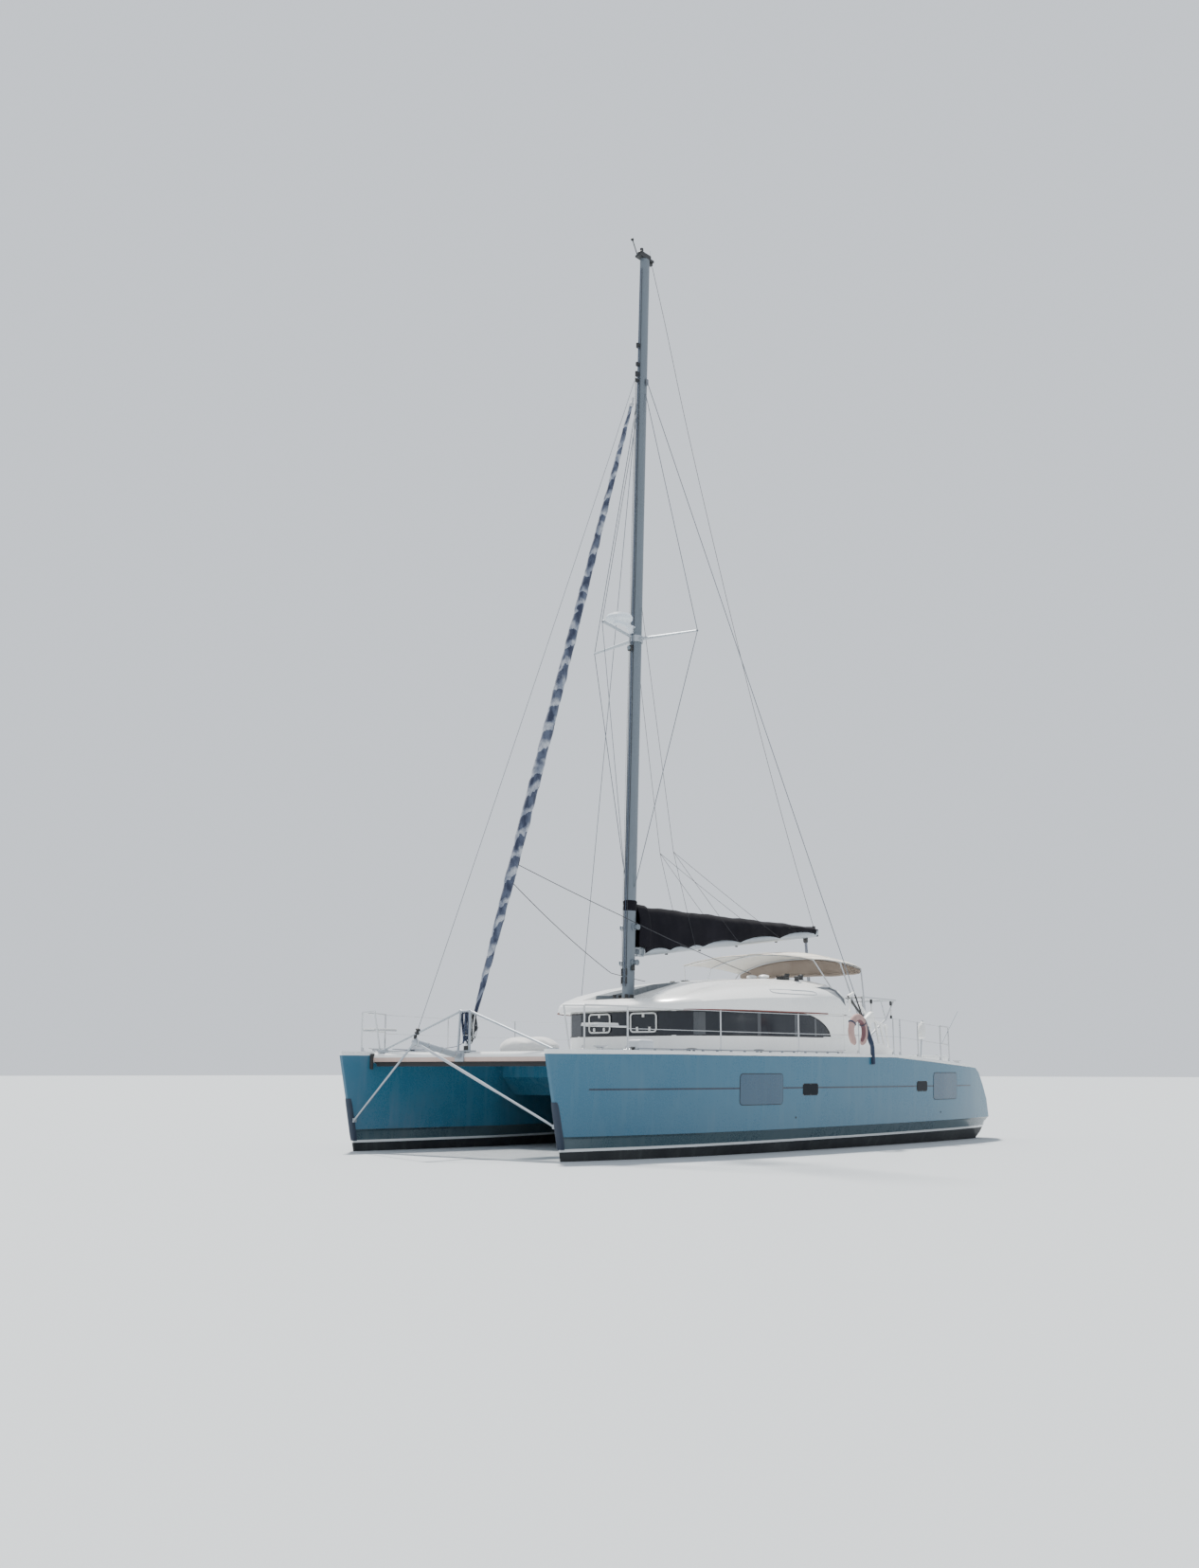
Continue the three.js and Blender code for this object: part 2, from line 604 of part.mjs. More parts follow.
// Shallow grey step sunk into each after corner, above the line that sweeps to the coaming
const cornerStep = {
  deep: 30,
  inner: 1780,
  outer: 2300,
  side: [[-1500, 2710], [-1760, 2600], [-1960, 2450], [-2070, 2350], [-2070, 2710]],
};
function cornerSteps() {
  const core = loft([-1200, roofAft - 100].map((x) => roofRing(x, cornerStep.deep)));
  return [-1, 1].map((s) => {
    const [a, b] = [s * cornerStep.inner, s * cornerStep.outer].sort((p, q) => p - q);
    return acrossBoat(cornerStep.side, a, b).subtract(core);
  });
}
function coachroof() {
  const between = [1150, 600, -100];
  const stations = [...roofRows.map((row) => row.x), ...between].sort((p, q) => q - p);
  const outer = loft(stations.map((x) => roofRing(x, 0)));
  const inside = loft(stations.slice(3).map((x) => roofRing(x, roofThick)).concat([
    roofRing(roofAft, roofThick).map((p) => p.clone().setX(roofAft - 280)),
  ]));
  const pastAft = bulkheadX - 500;
  const room = cabinPrism(wallThick, 2000, 3200, pastAft);
  const hollow = inside.intersect(room).add(cabinPrism(wallThick, 2100, roofEdgeZ + 1, pastAft));
  const roomUnder = hollow.subtract(valley(roofThick));
  return cut(outer, roomUnder, valley(0), ...cornerSteps()).add(mastPad());
}
function mastPad() {
  return box(1180, 1620, -180, 180, 2290, valleyFloor - gap);
}
const roof = coachroof();
put('coachroof', roof, paint.gelcoat);

// Bulkhead between saloon and cockpit, under the roof
const bulkheadHalf = 2038;
function bulkhead() {
  const [x0, x1] = [bulkheadX - bulkheadThick, bulkheadX - gap];
  const roofUnder = loft([x0, x1].map((x) => roofRing(x, roofThick + gap)));
  const lower = box(x0, x1, -bulkheadHalf, bulkheadHalf, deckZ + gap, roofEdgeZ + 10);
  const door = box(-far, 0, -doorHalf, doorHalf, past.low, 2560);
  const windows = [-1, 1].map((s) => {
    const [a, b] = [s * 620, s * 1500].sort((p, q) => p - q);
    return box(-far, 0, a, b, 1780, 2380);
  });
  const panel = roofUnder.intersect(box(x0, x1, -bulkheadHalf, bulkheadHalf, 2000, 3200)).add(lower);
  return cut(panel, roof.translate([0, 0, -gap]), door, ...windows);
}
put('aft_bulkhead', bulkhead(), paint.gelcoat);

// Sliding door on the cockpit side of the bulkhead
function door() {
  const [x0, x1] = [bulkheadX - bulkheadThick - 45, bulkheadX - bulkheadThick - 5];
  const [lap, frame, runnerY] = [15, 70, 300];
  const leaf = box(x0, x1, -doorHalf - lap, doorHalf + lap, cockpitSole + 15, 2600);
  const runners = [-1, 1].map((s) => {
    const [a, b] = [s * runnerY - 40, s * runnerY + 40];
    return box(x0 + 8, x1 - 8, a, b, cockpitSole + gap, cockpitSole + 20);
  });
  const glass = box(-far, 0, -doorHalf + frame, doorHalf - frame, 1500, 2480);
  return cut(join([leaf, ...runners]), glass);
}
put('saloon_door', door(), paint.alloy);

// Cockpit coamings falling aft from the cabin's corners
const coamingRows = [
  [-2125, 2300], [-2300, 2235], [-2500, 2085], [-2700, 1900],
  [-2850, 1770], [-3370, 1690], [-3700, 1600], [-3780, 1450],
];
const [coamingIn, coamingOut] = [1860, 2106];
function coaming() {
  const fore = bulkheadX - bulkheadThick - gap;
  const [foot, underRoof] = [1380, 2190];
  const top = coamingRows[0][0];
  const end = coamingRows[coamingRows.length - 1][0];
  const profile = [[fore, foot], [fore, underRoof], [top, underRoof], ...coamingRows, [end, 1330]];
  const corner = box(fore - 10, bulkheadX - gap, bulkheadHalf + gap, coamingOut, foot, underRoof);
  return acrossBoat(profile, coamingIn, coamingOut).add(corner).subtract(portHull.translate([0, 0, gap]));
}
bothSides('cockpit_coaming', coaming(), paint.gelcoat);

// Cockpit seats: one along the starboard side and one across the after end
function cockpitSeats() {
  const [foot, top, side, aft] = [cockpitSole + gap, 1480, -innerSide + 90 + gap, -4180 + gap];
  const long = box(-3900, -2350, side, -880, foot, top);
  const across = box(aft, -3680, side, 620, foot, top);
  return long.add(across);
}
put('cockpit_seats', cockpitSeats(), paint.gelcoat);

// Helm: a console against the port side of the bulkhead, its wheel and a seat
const wheelAt = [-2430, 1080, 1980];
const wheelShaft = 20;
function helmConsole() {
  const back = bulkheadX - bulkheadThick - gap - 50;
  const [foot, top, front] = [cockpitSole + gap, 2130, -2330];
  const profile = [[back, foot], [back, top], [-2240, top], [front, 2040], [front, foot]];
  const body = acrossBoat(profile, 860, 1300);
  const [, y, z] = wheelAt;
  return cut(body, bar([-2500, y, z], [-2250, y, z], wheelShaft + 0.8, 24));
}
put('helm_console', helmConsole(), paint.gelcoat);

const rimRadius = 340;
function helmWheel() {
  const [x, y, z] = wheelAt;
  const rim = new THREE.TorusGeometry(rimRadius, 14, 6, 24);
  rim.rotateY(Math.PI / 2);
  rim.translate(x, y, z);
  const spokes = [0, 1, 2, 3, 4].map((k) => {
    const a = (2 * Math.PI * k) / 5 + Math.PI / 2;
    return bar([x, y, z], [x, y + rimRadius * Math.cos(a), z + rimRadius * Math.sin(a)], 9, 6);
  });
  const shaft = bar([x - 25, y, z], [-2262, y, z], wheelShaft, 24);
  const boss = bar([x - 35, y, z], [x + 15, y, z], 45, 12);
  return join([solid(rim), ...spokes, shaft, boss]);
}
put('helm_wheel', helmWheel(), paint.steel);

function helmSeat() {
  const [y0, y1] = [760, 1340];
  const base = box(-3260, -2960, y0, y1, cockpitSole + gap, 1780);
  const back = acrossBoat([[-3200, 1700], [-3200, 2150], [-3270, 2150], [-3260, 1700]], y0, y1);
  return join([base, back]);
}
put('helm_seat', helmSeat(), paint.gelcoat);

// Bimini: three hoops from the coamings, and its canopy
const biminiRows = rows(['x', 'half', 'edge', 'crown'], [
  [-2000, 1480, 3200, 3330],
  [-2500, 1500, 3210, 3400],
  [-3100, 1500, 3190, 3430],
  [-3600, 1470, 3150, 3410],
  [-3850, 1420, 3110, 3350],
]);
const hoopX = [-2070, -2950, -3780];
const hoopTube = 13;
const hoopInset = 25;
const biminiAt = (name, x) => along(biminiRows, 'x', name, x);
function biminiArc(x, drop, sides = 14) {
  const [half, edge, crown] = ['half', 'edge', 'crown'].map((name) => biminiAt(name, x));
  return Array.from({ length: sides + 1 }, (_, k) => {
    const t = (2 * k) / sides - 1;
    return [x, t * (half - hoopInset), edge - drop + (crown - edge) * (1 - Math.abs(t) ** 2.4)];
  });
}
const hoopFoot = [-2950, 1770];
const hoopY = 1990;
function hoop(x, radius) {
  const [footX, foot] = hoopFoot;
  const down = [-1, 1].map((s) => [footX + (x - footX) * 0.06, s * hoopY, foot]);
  return pipe([down[0], ...biminiArc(x, hoopTube - 1), down[1]], radius);
}
function biminiFrame() {
  const [footX, foot] = hoopFoot;
  const legs = hoopX.map((x) => hoop(x, hoopTube));
  const feet = [-1, 1].map((s) => {
    const y = s * hoopY;
    return box(footX - 110, footX + 110, y - 30, y + 30, foot - 16, foot + 25);
  });
  const under = coamingRows.slice(1, 7).concat([[-3700, 1500], [-2300, 1500]]).reverse();
  const seats = [-1, 1].map((s) => acrossBoat(under, s * hoopY - 120, s * hoopY + 120));
  return cut(join([...legs, ...feet]), ...seats.map((shape) => shape.translate([0, 0, gap])));
}
put('bimini_frame', biminiFrame(), paint.steel);

function canopy() {
  const ring = (x, lift) => biminiArc(x, -lift).map(([a, y, z]) => V(a, y, z));
  const stations = biminiRows.map((row) => row.x);
  const skin = stations.map((x) => [...ring(x, 0), ...ring(x, 12).reverse()]);
  return loftBand(skin).subtract(join(hoopX.map((x) => hoop(x, hoopTube + 2 * gap))));
}

// Closed skin through thin crescent rings: upper and lower rows share their ends' caps
function loftBand(rings) {
  const count = rings[0].length;
  const half = count / 2;
  const points = rings.flat();
  const faces = [];
  for (let i = 0; i < rings.length - 1; i += 1) {
    for (let j = 0; j < count; j += 1) {
      const a = i * count + j;
      const b = i * count + ((j + 1) % count);
      faces.push([a, b, b + count], [a, b + count, a + count]);
    }
  }
  const last = (rings.length - 1) * count;
  for (let j = 0; j < half - 1; j += 1) {
    const [a, b, c, d] = [j, j + 1, count - 2 - j, count - 1 - j];
    faces.push([a, c, b], [a, d, c]);
    faces.push([last + a, last + b, last + c], [last + a, last + c, last + d]);
  }
  let volume = 0;
  for (const [a, b, c] of faces) volume += points[a].dot(V(0, 0, 0).crossVectors(points[b], points[c]));
  const geometry = new THREE.BufferGeometry();
  const flat = points.flatMap((p) => [p.x, p.y, p.z]);
  geometry.setAttribute('position', new THREE.Float32BufferAttribute(flat, 3));
  geometry.setIndex(faces.flatMap((face) => (volume < 0 ? [face[0], face[2], face[1]] : face)));
  return solid(geometry);
}
put('bimini_canopy', canopy(), paint.cream);

// Mast, raked aft
const rake = (mastTop[0] - mastFoot[0]) / (mastTop[2] - mastFoot[2]);
const mastX = (z) => mastFoot[0] + rake * (z - mastFoot[2]);
const mastHalf = { fore: 125, side: 88 };
function mastRing(z, s) {
  return Array.from({ length: 16 }, (_, k) => {
    const a = (2 * Math.PI * k) / 16;
    return V(mastX(z) + s * mastHalf.fore * Math.cos(a), s * mastHalf.side * Math.sin(a), z);
  });
}
const gooseneck = { x: 1140, z: 3215 };
const pinRadius = 12;
const pinPoint = (z) => [gooseneck.x + rake * (z - gooseneck.z), 0, z];
function mast() {
  const spar = loft([[2400, 1], [houndsZ, 1], [mastTop[2], 0.86]].map(([z, s]) => mastRing(z, s)));
  const lug = box(gooseneck.x - 28, 1320, -28, 28, gooseneck.z - 40, gooseneck.z + 40);
  const hole = bar(pinPoint(gooseneck.z - 200), pinPoint(gooseneck.z + 200), pinRadius + 0.8, 24);
  return join([spar, lug.subtract(hole)]);
}
put('mast', mast(), paint.alloy);

// Masthead crane with the wind vane's rod
function masthead() {
  const top = mastTop[2] + gap;
  const plate = box(mastTop[0] - 190, mastTop[0] + 200, -70, 70, top, top + 40);
  const rod = bar([mastTop[0] + 180, -30, top + 20], [mastTop[0] + 330, -30, top + 290], 8, 6);
  return join([plate, rod, ball([mastTop[0] + 330, -30, top + 290], 30)]);
}
put('masthead', masthead(), paint.wire);

// Spreaders: two swept ones and a jumper ahead, on a collar round the mast
const spreaderZ = 8720;
const spreaderTip = { x: 900, y: 1170, z: 8720 };
const jumperTip = [2020, 0, 8850];
function spreaders() {
  const collar = cut(
    loft([mastRingAt(spreaderZ - 60, 18), mastRingAt(spreaderZ + 60, 18)]),
    loft([mastRingAt(spreaderZ - 90, gap), mastRingAt(spreaderZ + 90, gap)]),
  );
  const start = mastX(spreaderZ);
  const arms = [-1, 1].map((s) => {
    const foil = (x, y, chord, thick, z) => Array.from({ length: 10 }, (_, k) => {
      const a = (2 * Math.PI * k) / 10;
      return V(x + (chord * Math.cos(a)) / 2, y, z + (thick * Math.sin(a)) / 2);
    });
    const root = foil(start - 10, s * 92, 130, 44, spreaderZ);
    return loft([root, foil(spreaderTip.x, s * spreaderTip.y, 70, 28, spreaderTip.z)]);
  });
  const jumper = bar([start + 128, 0, spreaderZ + 20], jumperTip, 26, 8);
  return join([collar, ...arms, jumper, ball(jumperTip, 34)]);
}
function mastRingAt(z, grow) {
  return mastRing(z, 1).map((p) => {
    const from = V(mastX(z), 0, z);
    const out = p.clone().sub(from);
    return from.add(out.clone().setLength(out.length() + grow));
  });
}
put('spreaders', spreaders(), paint.alloy);

// Radar dome on a bracket ahead of the mast
function radar() {
  const at = [1600, 0, 9010];
  const profile = [[0, -75], [190, -75], [232, -40], [235, 10], [205, 52], [120, 80], [0, 90]];
  const dome = new THREE.LatheGeometry(profile.map(([r, z]) => new THREE.Vector2(r, z)), 20);
  dome.rotateX(Math.PI / 2);
  dome.translate(...at);
  const front = mastX(8950) + mastHalf.fore + gap;
  const [back, low, high] = [front - 60, 8800, 8905];
  const arm = box(back, 1700, -50, 50, 8900, 8936);
  const foot = acrossBoat([[back, high], [front + 130, high], [front + 14, low], [back, low]], -40, 40);
  return cut(join([solid(dome), arm, foot]), loft([mastRingAt(8600, gap), mastRingAt(9300, gap)]));
}
put('radar_dome', radar(), paint.radome);

// Boom and stowed mainsail in its cover, swinging about the gooseneck pin
const boomEnd = [-4420, 0, 3910];
const boomStart = [gooseneck.x - 90, 0, 3225];
const boomRadius = 82;
function boom() {
  const spar = bar(boomStart, boomEnd, boomRadius, 14);
  const fork = [-1, 1].map((s) => box(gooseneck.x - 150, gooseneck.x + 26, -26, 26,
    gooseneck.z + s * 62 - 16, gooseneck.z + s * 62 + 16));
  const pin = bar(pinPoint(gooseneck.z - 78), pinPoint(gooseneck.z + 78), pinRadius, 24);
  return join([spar, ...fork, pin]);
}
put('boom', boom(), paint.alloy);

const boomRise = (boomEnd[2] - boomStart[2]) / (boomStart[0] - boomEnd[0]);
const boomZ = (x) => boomStart[2] + boomRise * (boomStart[0] - x);
const coverRows = rows(['x', 'half', 'top'], [
  [1020, 130, 4010],
  [200, 150, 4015],
  [-1400, 150, 4020],
  [-3200, 135, 4030],
  [-4340, 110, 4030],
]);
function sailCover() {
  const rings = coverRows.map(({ x, half, top }) => {
    const low = boomZ(x) - 35;
    const mid = (low + top) / 2;
    const side = [[1, low], [1, mid], [0.75, top - 70], [0.25, top]];
    const port = side.map(([s, z]) => V(x, s * half, z));
    const starboard = side.reverse().map(([s, z]) => V(x, -s * half, z));
    return [...port, ...starboard];
  });
  const a = [boomStart[0] + 300, 0, boomZ(boomStart[0] + 300)];
  const b = [boomEnd[0] - 300, 0, boomZ(boomEnd[0] - 300)];
  return loft(rings).subtract(bar(a, b, boomRadius + 0.5, 14));
}
put('sail_cover', sailCover(), paint.black);

// Furled headsail on the forestay, and its drum over the beam
const stayFoot = [beamX - 60, 0, 1560];
const stayHead = [mastX(houndsZ - 120) + 165, 0, houndsZ - 120];
const stayAt = (t) => V(...stayFoot).lerp(V(...stayHead), t);
const furlFoot = 0.045;
const furlRows = rows(['t', 'r'], [
  [furlFoot, 30], [0.09, 48], [0.2, 75], [0.35, 88], [0.55, 80], [0.75, 60], [0.9, 42], [0.965, 26],
]);
const stayDirection = V(...stayHead).sub(V(...stayFoot)).normalize();
const stayTurn = new THREE.Quaternion().setFromUnitVectors(V(1, 0, 0), stayDirection);
const stayRing = (t, r, sides) =>
  circle(V(0, 0, 0), r, sides).map((p) => p.applyQuaternion(stayTurn).add(stayAt(t)));
function genoa() {
  const rings = [];
  for (let k = 0; k <= 14; k += 1) {
    const t = furlFoot + (0.92 * k) / 14;
    rings.push(stayRing(t, along(furlRows, 't', 'r', t), 10));
  }
  const head = loft([stayRing(0.96, 12, 8), stayRing(0.9965, 12, 8)]);
  return join([loft(rings), head]);
}
put('furled_genoa', genoa(), paint.navy);

function drum() {
  const t = (z) => (z - stayFoot[2]) / (stayHead[2] - stayFoot[2]);
  const neckTop = stayAt(furlFoot).z - 2 * gap;
  const parts = [[1560, 1720, 14], [1720, 1740, 85], [1740, 1860, 45], [1860, 1880, 85], [1880, neckTop, 26]];
  const lap = 0.00002;
  const pieces = parts.map(([z0, z1, r]) =>
    loft([stayRing(t(z0) - lap, r, 14), stayRing(t(z1) + lap, r, 14)]));
  const foot = box(beamX - 100, beamX - 15, -20, 20, beamTop + 22 + 2 * gap, 1590);
  return join([...pieces, foot]);
}
put('furler_drum', drum(), paint.alloy);

// Standing rigging
const wireRadius = 7;
function capShroud() {
  const top = V(mastX(houndsZ) - 20, 100, houndsZ);
  const foot = V(...chainplate);
  const bottleTop = foot.clone().lerp(top, 0.03);
  const list = (p) => [p.x, p.y, p.z];
  const wire = bar(list(foot), list(top), wireRadius, 6);
  const bottle = bar(list(foot), list(bottleTop), 16, 8);
  const tang = box(top.x - 30, top.x + 30, 60, 112, houndsZ - 70, houndsZ + 40);
  const strap = box(foot.x - 30, foot.x + 30, foot.y - 30, foot.y + 14, 1330, foot.z + 30);
  return cut(join([wire, tang, bottle, strap]), portHull.translate([0, gap, 0]),
    loft([mastRingAt(houndsZ - 300, gap), mastRingAt(houndsZ + 300, gap)]));
}
bothSides('cap_shroud', capShroud(), paint.wire);

function diamond() {
  const high = [mastX(houndsZ - 250), mastHalf.side + 4, houndsZ - 250];
  const low = [mastX(4300), mastHalf.side + 4, 4300];
  const tip = [spreaderTip.x, spreaderTip.y + 8, spreaderTip.z];
  const wires = [bar(high, tip, wireRadius, 6), bar(tip, low, wireRadius, 6), ball(tip, 16)];
  return cut(join(wires), loft([mastRingAt(2500, gap), mastRingAt(houndsZ, gap)]), spreaderCut);
}
const spreaderCut = spreaders().translate([0, gap, 0]).add(spreaders());
bothSides('diamond_stay', diamond(), paint.wire);

function jumperStay() {
  const grow = mastHalf.fore + 4;
  const high = [mastX(houndsZ - 700) + grow, 0, houndsZ - 700];
  const low = [mastX(4300) + grow, 0, 4300];
  const tip = [jumperTip[0] + 34 + 8, 0, jumperTip[2]];
  return cut(join([bar(high, tip, 6, 6), bar(tip, low, 6, 6), ball(tip, 14)]),
    loft([mastRingAt(2500, gap), mastRingAt(houndsZ, gap)]), spreaders(), ball(jumperTip, 34 + gap));
}
put('jumper_stay', jumperStay(), paint.wire);

// Guardrails: pulpit, stanchions, pushpit and the two lines that join them
const railHeight = 620;
const railInset = 92;
const railY = (x) => hullAt('out', x) - railInset;
const footAt = (x, y = railY(x)) => [x, y, sheerZ(x) - 8];
const above = ([x, y, z], dz) => [x, y, z + dz];
const railTube = 14;
const lowerLine = 310;
const wireThick = 5;
const onDeck = (shape) => shape.subtract(portHull.translate([0, 0, gap]));
const pulpitX = [5180, 4500];
const pushpitX = [-3540, -3880];
const postX = [2750, 910, -750, -1850, -2080, -2700];
const postRadius = 12;

function pulpit() {
  const inner = hullAt('inn', 5100) + 70;
  const feet = pulpitX.map((x) => footAt(x));
  const nose = [5230, inner, sheerZ(5230) + railHeight];
  const tops = feet.map((foot) => above(foot, railHeight));
  const rail = pipe([feet[1], tops[1], tops[0], nose, footAt(5100, inner)], railTube);
  const leg = bar(feet[0], above(feet[0], railHeight), railTube, 6);
  const [seatY, seatZ] = [railY(4800), sheerZ(4800) + 330];
  const seat = box(4600, 5060, seatY - 300, seatY + 15, seatZ, seatZ + 22);
  const seatBar = bar(above(feet[0], 335), above(feet[1], 335), 12, 6);
  return onDeck(join([rail, leg, seat, seatBar]));
}
bothSides('pulpit', pulpit(), paint.steel);

function pushpit() {
  const feet = pushpitX.map((x) => footAt(x));
  const hoop = pipe([feet[0], above(feet[0], railHeight), above(feet[1], railHeight), feet[1]], railTube);
  return onDeck(hoop.add(bar(above(feet[0], lowerLine), above(feet[1], lowerLine), 12, 6)));
}
bothSides('pushpit', pushpit(), paint.steel);

// Stanchions and the two lines from pulpit to pushpit
function lifelines() {
  const posts = postX.map((x) => bar(footAt(x), above(footAt(x), railHeight), postRadius, 6));
  const ends = [pulpitX[1] - railTube - gap, pushpitX[0] + railTube + gap];
  const lines = [railHeight - 10, lowerLine].map((h) =>
    pipe([ends[0], ...postX, ends[1]].map((x) => above(footAt(x), h)), wireThick));
  return onDeck(join([...posts, ...lines]));
}
bothSides('lifelines', lifelines(), paint.steel);

// Davits: on each side a level arm over the stern, on a leg, a strut and a V
const davitY = 1050;
function davits() {
  const foot = sheerZ(-4500) - 8;
  const armZ = (x) => 2615 + (x + 4400) * 0.018;
  const sides = [-1, 1].flatMap((s) => {
    const at = (x, z) => [x, s * davitY, z];
    const knee = at(-5250, 2215);
    return [
      pipe([at(-4450, foot), at(-4450, 2300), at(-4400, armZ(-4400)), at(-5640, armZ(-5640))], 22),
      bar(at(-4450, 1780), knee, 20), ball(knee, 24),
      bar(knee, at(-5080, armZ(-5080)), 16), bar(knee, at(-5580, armZ(-5580)), 16),
      bar(at(-4445, 2250), [-4430, s * 680, armZ(-4430)], 16),
      box(-4530, -4370, s * davitY - 70, s * davitY + 70, foot - 0.5, foot + 12),
    ];
  });
  const cross = [-4430, -5500].map((x) => bar([x, -davitY, armZ(x)], [x, davitY, armZ(x)], 20));
  return cut(join([...sides, ...cross]), bridgeCut);
}
const bridgeCut = bridgedeck().translate([0, 0, gap]);
put('davits', davits(), paint.steel);

// Engine lids in the side decks, hinged along their forward edges
const lid = { over: 60, thick: 34 };
bothSides('engine_lid', box(
  well.x0 - lid.over, well.x1 + lid.over,
  well.y0 - lid.over, well.y1 + lid.over,
  well.coaming + gap, well.coaming + lid.thick,
), paint.deck);

// Horseshoe lifebuoy on the port guardrail, ahead of the shroud
function horseshoe() {
  const [x, z] = [-630, 1865];
  const [halfX, halfZ, wide, deep] = [210, 222, 68, 48];
  const at = V(x, railY(postX[2]) + postRadius + gap + deep, z);
  const ring = [];
  for (let k = 0; k <= 12; k += 1) {
    const a = THREE.MathUtils.degToRad(-60 + (300 * k) / 12);
    const middle = V(at.x + halfX * Math.cos(a), at.y, at.z + halfZ * Math.sin(a));
    const outward = V(Math.cos(a), 0, Math.sin(a));
    ring.push(Array.from({ length: 8 }, (_, j) => {
      const b = (2 * Math.PI * j) / 8;
      return middle.clone().addScaledVector(outward, wide * Math.cos(b)).add(V(0, deep * Math.sin(b), 0));
    }));
  }
  return loft(ring);
}
put('horseshoe_buoy', horseshoe(), paint.faded);

// Headsail bag stowed on the port trampoline
function sailBag() {
  const rows = [[3950, 60], [4050, 150], [4300, 175], [4600, 175], [4850, 150], [4950, 60]];
  const netTop = beamZ + 6 + gap;
  return loft(rows.map(([x, r]) =>
    circle(V(x, 620, beamZ + 134), r, 12).map((p) => V(p.x, p.y, Math.max(p.z, netTop)))));
}
put('sail_bag', sailBag(), paint.cream);

export default group;
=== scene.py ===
# Cruising catamaran at rest on its waterline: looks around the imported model.
# Metres, +X ahead, +Y to port, +Z up. The floor is the water's surface, z = 0.

import bpy
import bmesh
import json
import math
import random
from mathutils import Matrix, Vector
from mathutils.bvhtree import BVHTree


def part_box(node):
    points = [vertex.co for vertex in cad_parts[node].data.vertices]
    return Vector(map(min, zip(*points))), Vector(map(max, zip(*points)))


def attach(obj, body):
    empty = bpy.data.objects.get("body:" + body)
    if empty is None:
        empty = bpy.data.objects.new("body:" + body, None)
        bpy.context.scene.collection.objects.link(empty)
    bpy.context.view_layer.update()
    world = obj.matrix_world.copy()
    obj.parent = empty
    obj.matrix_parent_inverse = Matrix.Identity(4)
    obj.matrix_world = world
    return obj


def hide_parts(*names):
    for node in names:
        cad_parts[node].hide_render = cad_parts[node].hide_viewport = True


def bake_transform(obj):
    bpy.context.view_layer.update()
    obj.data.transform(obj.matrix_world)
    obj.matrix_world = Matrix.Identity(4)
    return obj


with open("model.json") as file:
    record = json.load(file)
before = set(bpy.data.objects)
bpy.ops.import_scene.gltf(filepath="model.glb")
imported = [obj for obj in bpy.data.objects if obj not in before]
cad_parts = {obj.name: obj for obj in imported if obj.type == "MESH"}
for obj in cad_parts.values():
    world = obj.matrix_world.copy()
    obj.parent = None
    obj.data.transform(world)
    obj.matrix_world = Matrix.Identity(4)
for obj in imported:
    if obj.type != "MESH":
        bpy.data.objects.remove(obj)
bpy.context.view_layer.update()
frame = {"nodes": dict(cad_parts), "record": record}
bodyOf = {node: body for body, members in frame["record"]["behaviour"]["bodies"].items() for node in members}
slotOf = {row["node"]: row["material_slot"] for row in frame["record"]["subparts"]}
print("frame loaded:", len(frame["nodes"]), "nodes")

# Small helpers used throughout

upward = Vector((0, 0, 1))
bothSides = ((1, "port"), (-1, "starboard"))


def steps(low, high, count):
    return [low + (high - low) * i / count for i in range(count + 1)]


def circle(count):
    return [(math.cos(2 * math.pi * k / count), math.sin(2 * math.pi * k / count)) for k in range(count)]


def eased(value, power):
    # A power that keeps the sign
    return math.copysign(abs(value) ** power, value)


# Camera, floor and light

camera = {
    "spot": (21.53, 16.67, 1.23),
    "yaw": 40.67,        # degrees, from dead ahead of the boat towards port
    "pitch": 10.53,
    "roll": 0.05,
    "focal": 1627,       # pixels
    "image": (1266, 1655),
    "sensor": 36,        # millimetres
    "sight": 2000,
}
studio = {
    "floorSize": 600,
    "floorColour": (0.46, 0.49, 0.51),
    "floorRoughness": 0.85,
    "sky": (0.80, 0.85, 0.92),
    "skyStrength": 1.15,
    "sunStrength": 7.6,
    "sunColour": (1.0, 0.97, 0.92),
    "sunFrom": (-0.38, -0.62, 1.30),   # over the starboard quarter and high
    "sunAngle": 5,
}


def linked(name, data):
    made = bpy.data.objects.new(name, data)
    bpy.context.scene.collection.objects.link(made)
    return made


def placeCamera():
    yaw, pitch, roll = (math.radians(camera[key]) for key in ("yaw", "pitch", "roll"))
    ahead = Vector((-math.cos(yaw) * math.cos(pitch), -math.sin(yaw) * math.cos(pitch), math.sin(pitch)))
    lens = bpy.data.cameras.new("camera")
    lens.sensor_fit = "VERTICAL"
    lens.sensor_height = camera["sensor"]
    lens.lens = camera["sensor"] * camera["focal"] / camera["image"][1]
    lens.clip_end = camera["sight"]
    seen = linked("camera", lens)
    turn = ahead.to_track_quat("-Z", "Y").to_matrix().to_4x4()
    seen.matrix_world = Matrix.Translation(camera["spot"]) @ turn @ Matrix.Rotation(roll, 4, "Z")
    bpy.context.scene.camera = seen


